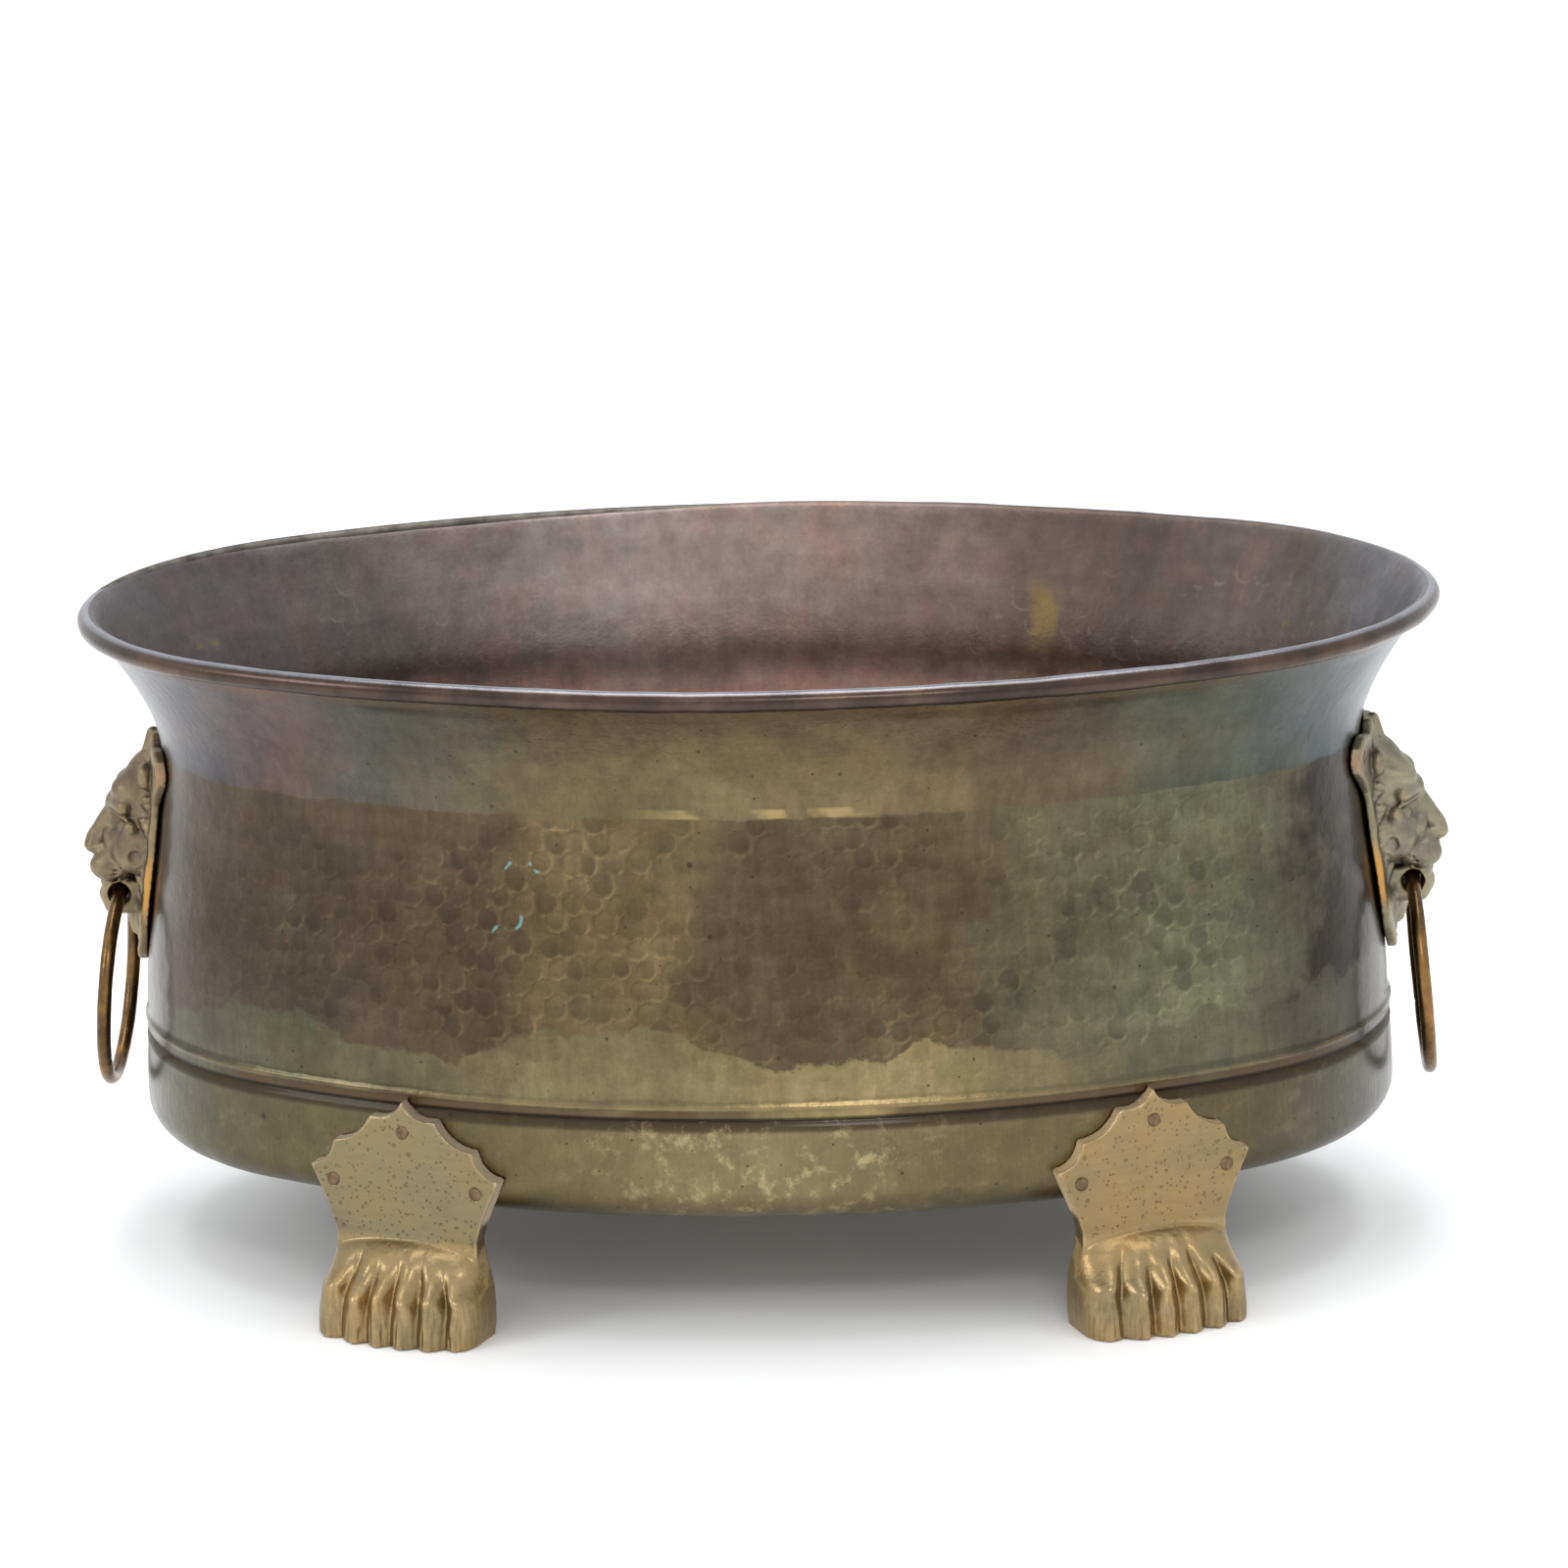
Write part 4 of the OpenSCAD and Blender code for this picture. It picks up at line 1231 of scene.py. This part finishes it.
def head_field(x, y, z):
    """The lion's head, without its mane: skull, brow, nose, muzzle, cheeks and
    jaw, then the hollows of the eyes, then eyes and lids, then fine lines."""
    p = (x, np.abs(y), z)
    ball = functools.partial(ellipsoid, p)
    bar = functools.partial(capsule, p)
    field = ball((252.0, 0, 178), (17.0, 16.5, 29))
    field = joined(field, [
        (ball((262.0, 6.5, 190.5), (8.0, 8.0, 6.2)), 4.0),
        (bar((268.6, 2.0, 184.6), (264.0, 13.0, 184.0), 4.6, 3.4), 2.4),
        (bar((266.5, 0, 183.5), (278.6, 0, 168.2), 5.4, 4.0), 2.6),
        (ball((278.9, 0, 165.4), (4.7, 5.6, 3.9)), 1.4),
        (ball((275.4, 4.2, 164.6), (3.6, 2.9, 2.8)), 1.2),
        (ball((267.5, 5.5, 169.5), (7.0, 6.5, 8.5)), 2.5),
        (ball((271.2, 6.0, 157.8), (9.4, 7.6, 7.0)), 2.4),
        (ball((259.5, 12.5, 165.5), (10.0, 7.0, 10.0)), 3.0),
        (bar((261.0, 15.5, 176.0), (267.0, 9.5, 157.5), 3.2, 3.6), 2.0),
        (ball((263.5, 9.8, 174.8), (3.7, 4.4, 3.5)), 0.8),
        (rounded_box(p, (262.0, 0, 144.5), (13.5, 9.6, 7.8), 4.0), 1.6),
        (ball((271.2, 0, 144.2), (6.9, 8.2, 6.6)), 1.8),
        (ball((273.2, 0, 149.8), (4.2, 7.5, 3.0)), 1.0),
    ])
    eye_hollow = ball((272.0, 11.5, 176.0), (4.4, 5.4, 4.2))
    field = smooth_max(field, -eye_hollow, 2.0)
    field = joined(field, [
        (ball((264.6, 9.4, 175.4), (3.3, 3.9, 3.1)), 0.5),
        (bar((269.2, 4.8, 178.2), (262.6, 14.4, 176.6), 1.15, 1.0), 0.5),
        (bar((270.6, 4.2, 180.9), (262.8, 15.2, 179.6), 1.1, 0.9), 0.5),
        (bar((268.6, 5.2, 172.4), (261.8, 13.8, 172.0), 1.2, 0.9), 0.5),
        (bar((271.5, 4.6, 168.8), (263.4, 14.6, 161.4), 1.3, 1.5), 0.7),
    ])
    return -joined(-field, [
        (bar((282.6, 2.6, 162.6), (278.6, 4.6, 163.4), 1.1, 1.2), 0.5),
        (bar((283.0, 0, 160.6), (279.5, 0, 152.6), 0.55, 0.8), 0.5),
        (bar((278.0, 0, 151.9), (266.5, 12.5, 152.6), 0.8, 1.1), 0.6),
        (bar((276.0, 7.5, 162.0), (266.0, 14.0, 158.6), 0.55, 0.5), 0.4),
        (bar((277.4, 8.3, 159.2), (266.0, 14.6, 156.6), 0.5, 0.5), 0.4),
        (bar((277.0, 8.6, 156.6), (266.0, 14.4, 154.8), 0.5, 0.5), 0.4),
        (ball((259.5, 19.6, 163.5), (3.2, 1.8, 4.0)), 0.8),
        (ball((260.0, 18.4, 154.5), (3.0, 1.8, 2.8)), 0.8),
    ])


def lock_lines():
    """The mane's locks: from the face out over the plate, one side only, as
    two ends with their distances out from the wall and their radii."""
    locks = []
    for k, angle in enumerate(np.radians([78, 60, 42, 24, 6, -12, -28, -44])):
        inner = (15.5 * math.cos(angle), 176 + 27 * math.sin(angle))
        reach = 21.3 if k > 2 else 21.3 + 5 * (k == 1) + 2 * (k == 2)
        outer = (reach * math.cos(angle - 0.16), 174 + 36 * math.sin(angle - 0.16))
        locks.append((inner, outer, 5.6, 2.8, 3.2, 1.3))
    for k, (y, z) in enumerate([(15.0, 148.0), (12.5, 139.0), (8.5, 131.5), (4.0, 127.0)]):
        locks.append(((y * 0.62, z + 6.0), (y * 1.12, z - 5.5), 4.4, 2.8, 2.8, 1.3))
    locks.append(((0.0, 139.0), (0.0, 122.5), 7.5, 3.4, 4.6, 2.4))
    return locks


def mane_field(out, side, z):
    """The locks of the mane, wrapped over the plate, with fine strands."""
    field = np.full(out.shape, 1e3, np.float32)
    for inner, outer, high, low, thick, thin in lock_lines():
        lock = capsule((out, side, z), (high, *inner), (low, *outer), thick, thin)
        field = smooth_min(field, lock, 0.7)
    strands = 0.22 * np.sin(np.arctan2(z - 175, side + 2) * 46)
    return field + strands * smoothstep(3.6, 4.6, out)


def ring_room(x, side, z):
    """The ring's hole through the mouth, and the room that the ring sweeps."""
    waist = smoothstep(3.5, 7.5, side)
    bore = np.hypot(x - HINGE[0], z - mix(HINGE[2], MOUTH_Z, waist))
    bore = bore - mix(WIRE_R + WIRE_BOW, MOUTH_R, waist)
    drop = RING_R - np.sqrt(np.maximum(RING_R ** 2 - np.minimum(side, RING_R) ** 2, 0)) - WIRE_BOW
    swept = np.abs(np.hypot(x - HINGE[0], z - HINGE[2]) - np.abs(drop)) - WIRE_R - mix(0.05, 0.45, waist)
    return bore, np.maximum(swept, HINGE[0] - WIRE_R - 0.8 - x)


def mask_field(x, y, z):
    """The whole mask: plate, mane, head, tuft of hair and ears, with the room
    for the ring and the dishes for the rivets cut out."""
    side = np.abs(y)
    p = (x, side, z)
    plate, out = mask_plate_field(x, y, z)
    tuft = np.minimum(capsule(p, (255.2, 0, 199), (252.2, 0, 213), 4.2, 2.6),
                      capsule(p, (253.4, 5.4, 198), (250.8, 6.2, 210.6), 3.8, 2.2))
    ear = ellipsoid(p, (253.5, 17.0, 198.5), (4.0, 5.2, 5.8))
    ear = smooth_max(ear, -ellipsoid(p, (257.2, 17.4, 198.8), (2.6, 3.0, 3.6)), 0.8)
    mane, head = mane_field(out, side, z), head_field(x, y, z)
    field = joined(plate, [(mane, 0.9), (head, 1.2), (tuft, 0.8), (ear, 0.9)])
    bore, swept = ring_room(x, side, z)
    field = smooth_max(field, -bore, 0.4)
    field = np.maximum(field, -swept)
    for angle, at_z in MASK_RIVETS[1:]:
        at_y = (END_RADIUS + wall_out(at_z) + MASK_T) * math.sin(math.radians(angle))
        dish = np.maximum(np.hypot(side - at_y, z - at_z) - MASK_DISH_R, MASK_T - 0.3 - out)
        field = np.maximum(field, -dish)
    return np.maximum(field, 0.08 - out)


def build_masks(material):
    axes = grid((237, -41, 114), (286, 41, 218), MASK_STEP)
    points, faces = surface_nets(mask_field(*axes), axes, MASK_STEP)
    hollow = np.clip(hollowness(points, faces) / 0.6, -1, 1)
    points += 0.07 * noise(points, 2.6, 5)[:, None]
    points[:, 0] = np.minimum(points[:, 0], NOSE_X)
    for name, turn in (("right", 1), ("left", -1)):
        world = points * np.array([turn, turn, 1])
        mask = make_object("lion_mask_" + name, world, faces.tolist(), [material], None,
                           {"hollow": hollow})
        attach(mask, "pot")
        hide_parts("mask_" + name)


def build_mask_rivets(material):
    for name, turn in (("right", 0), ("left", math.pi)):
        spots = []
        for angle, z in MASK_RIVETS:
            place = (Matrix.Rotation(turn, 4, "Z") @ Matrix.Translation((END_CENTRE, 0, 0))
                     @ Matrix.Rotation(math.radians(angle + 90), 4, "Z")
                     @ Matrix.Translation((0, -END_RADIUS - float(wall_out(z)) - MASK_T, z)))
            spots.append((place, MASK_T + SHEET + 0.5))
        build_rivets("mask_rivets_" + name, spots, material)


# ---- Rings ----

RING_AROUND = 220
RING_TUBE = 28
SEAM_TURN = 2.2


def build_ring(name, side, material):
    """A ring of bent rod, a little uneven, with the joint of its ends."""
    a = np.linspace(0, 2 * math.pi, RING_AROUND, endpoint=False)
    b = np.linspace(0, 2 * math.pi, RING_TUBE, endpoint=False)
    a, b = np.meshgrid(a, b, indexing="ij")
    seam = np.exp(-(((a - SEAM_TURN) * RING_R / 0.5) ** 2))
    flow = np.stack([a * RING_R, b * 3, a * 0], -1)
    wire = WIRE_R - 0.06 + 0.06 * noise(flow, 9, 4) - 0.25 * seam
    # A little thicker where it lies in the mouth
    wire = wire + 0.4 * np.exp(-((RING_R * np.sin(a) / 3.0) ** 4)) * (np.cos(a) > 0)
    local_x = wire * np.cos(b)
    local_y = (RING_R + wire * np.sin(b)) * np.sin(a)
    local_z = WIRE_BOW - RING_R + (RING_R + wire * np.sin(b)) * np.cos(a)
    cos, sin = math.cos(math.radians(RING_LEAN)), math.sin(math.radians(RING_LEAN))
    x = local_x * cos - local_z * sin
    z = local_x * sin + local_z * cos
    points = np.stack([side * (HINGE[0] + x), side * local_y, HINGE[2] + z], -1).reshape(-1, 3)
    faces = skin_faces(RING_AROUND, RING_TUBE, True)[:, [0, 3, 2, 1]].tolist()
    ring = make_object("handle_ring_" + name, points, faces, [material])
    clean_mesh(ring.data)
    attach(ring, name + "_ring")
    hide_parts("ring_" + name)


# ---- Stage ----

FLOOR_HALF = 9000
FLOOR_LINES = 13
SKY_TINT = (0.97, 0.985, 1.0)
SKY_STRENGTH = 1.06


def build_floor(material):
    line = np.linspace(-FLOOR_HALF, FLOOR_HALF, FLOOR_LINES)
    points = [(x, y, 0.0) for y in line for x in line]
    n = FLOOR_LINES
    faces = [[j * n + i, j * n + i + 1, (j + 1) * n + i + 1, (j + 1) * n + i]
             for j in range(n - 1) for i in range(n - 1)]
    make_object("floor", points, faces, [material])


def looking(place, aim):
    """The matrix of something at a place that looks at another place."""
    way = Vector(aim) - Vector(place)
    return Matrix.Translation(place) @ way.to_track_quat("-Z", "Y").to_matrix().to_4x4()


def add_light(name, place, aim, size, watts, tint):
    light = bpy.data.lights.new(name, "AREA")
    light.shape = "RECTANGLE"
    light.size, light.size_y = size
    light.energy = watts
    light.color = tint
    link(name, light).matrix_world = looking(place, aim)


def build_lights():
    world = bpy.data.worlds.new("studio")
    bpy.context.scene.world = world
    world.use_nodes = True
    background = world.node_tree.nodes["Background"]
    background.inputs["Color"].default_value = (*SKY_TINT, 1.0)
    background.inputs["Strength"].default_value = SKY_STRENGTH
    add_light("overhead", (0.0, 0.2, 2.3), (0, 0, 0.15), (1.8, 1.2), 34, SKY_TINT)
    add_light("left side", (-2.2, -1.2, 1.5), (0, 0, 0.15), (0.8, 0.8), 12, (0.95, 0.97, 1.0))
    add_light("front", (0.5, -2.6, 2.2), (0, 0, 0.12), (0.7, 0.5), 12, (1.0, 0.98, 0.95))


def build_camera():
    data = bpy.data.cameras.new("camera")
    data.lens = CAMERA_LENS
    data.sensor_width = 36
    data.clip_end = 50
    camera = link("camera", data)
    roll = Matrix.Rotation(math.radians(CAMERA_ROLL), 4, "Z")
    camera.matrix_world = looking(CAMERA_AT, CAMERA_AIM) @ roll
    bpy.context.scene.camera = camera


def paint_node(name, material):
    """Gives a CAD object that stays its material."""
    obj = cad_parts[name]
    obj.data.materials.clear()
    obj.data.materials.append(material)


def main():
    bpy.context.scene.view_settings.view_transform = "Standard"
    build_camera()
    build_lights()
    build_floor(floor_material())
    inside = inner_material()
    build_wall(wall_material(), rim_material(), inside)
    build_pan(pan_material(), inside)
    build_feet(foot_material())
    build_masks(mask_material())
    copper = copper_material()
    build_foot_rivets(copper)
    build_mask_rivets(copper)
    ring_brass = ring_material()
    build_ring("right", 1, ring_brass)
    build_ring("left", -1, ring_brass)
    paint_node("rim_wire", wire_material())
    paint_node("lap_solder", solder_material())


main()
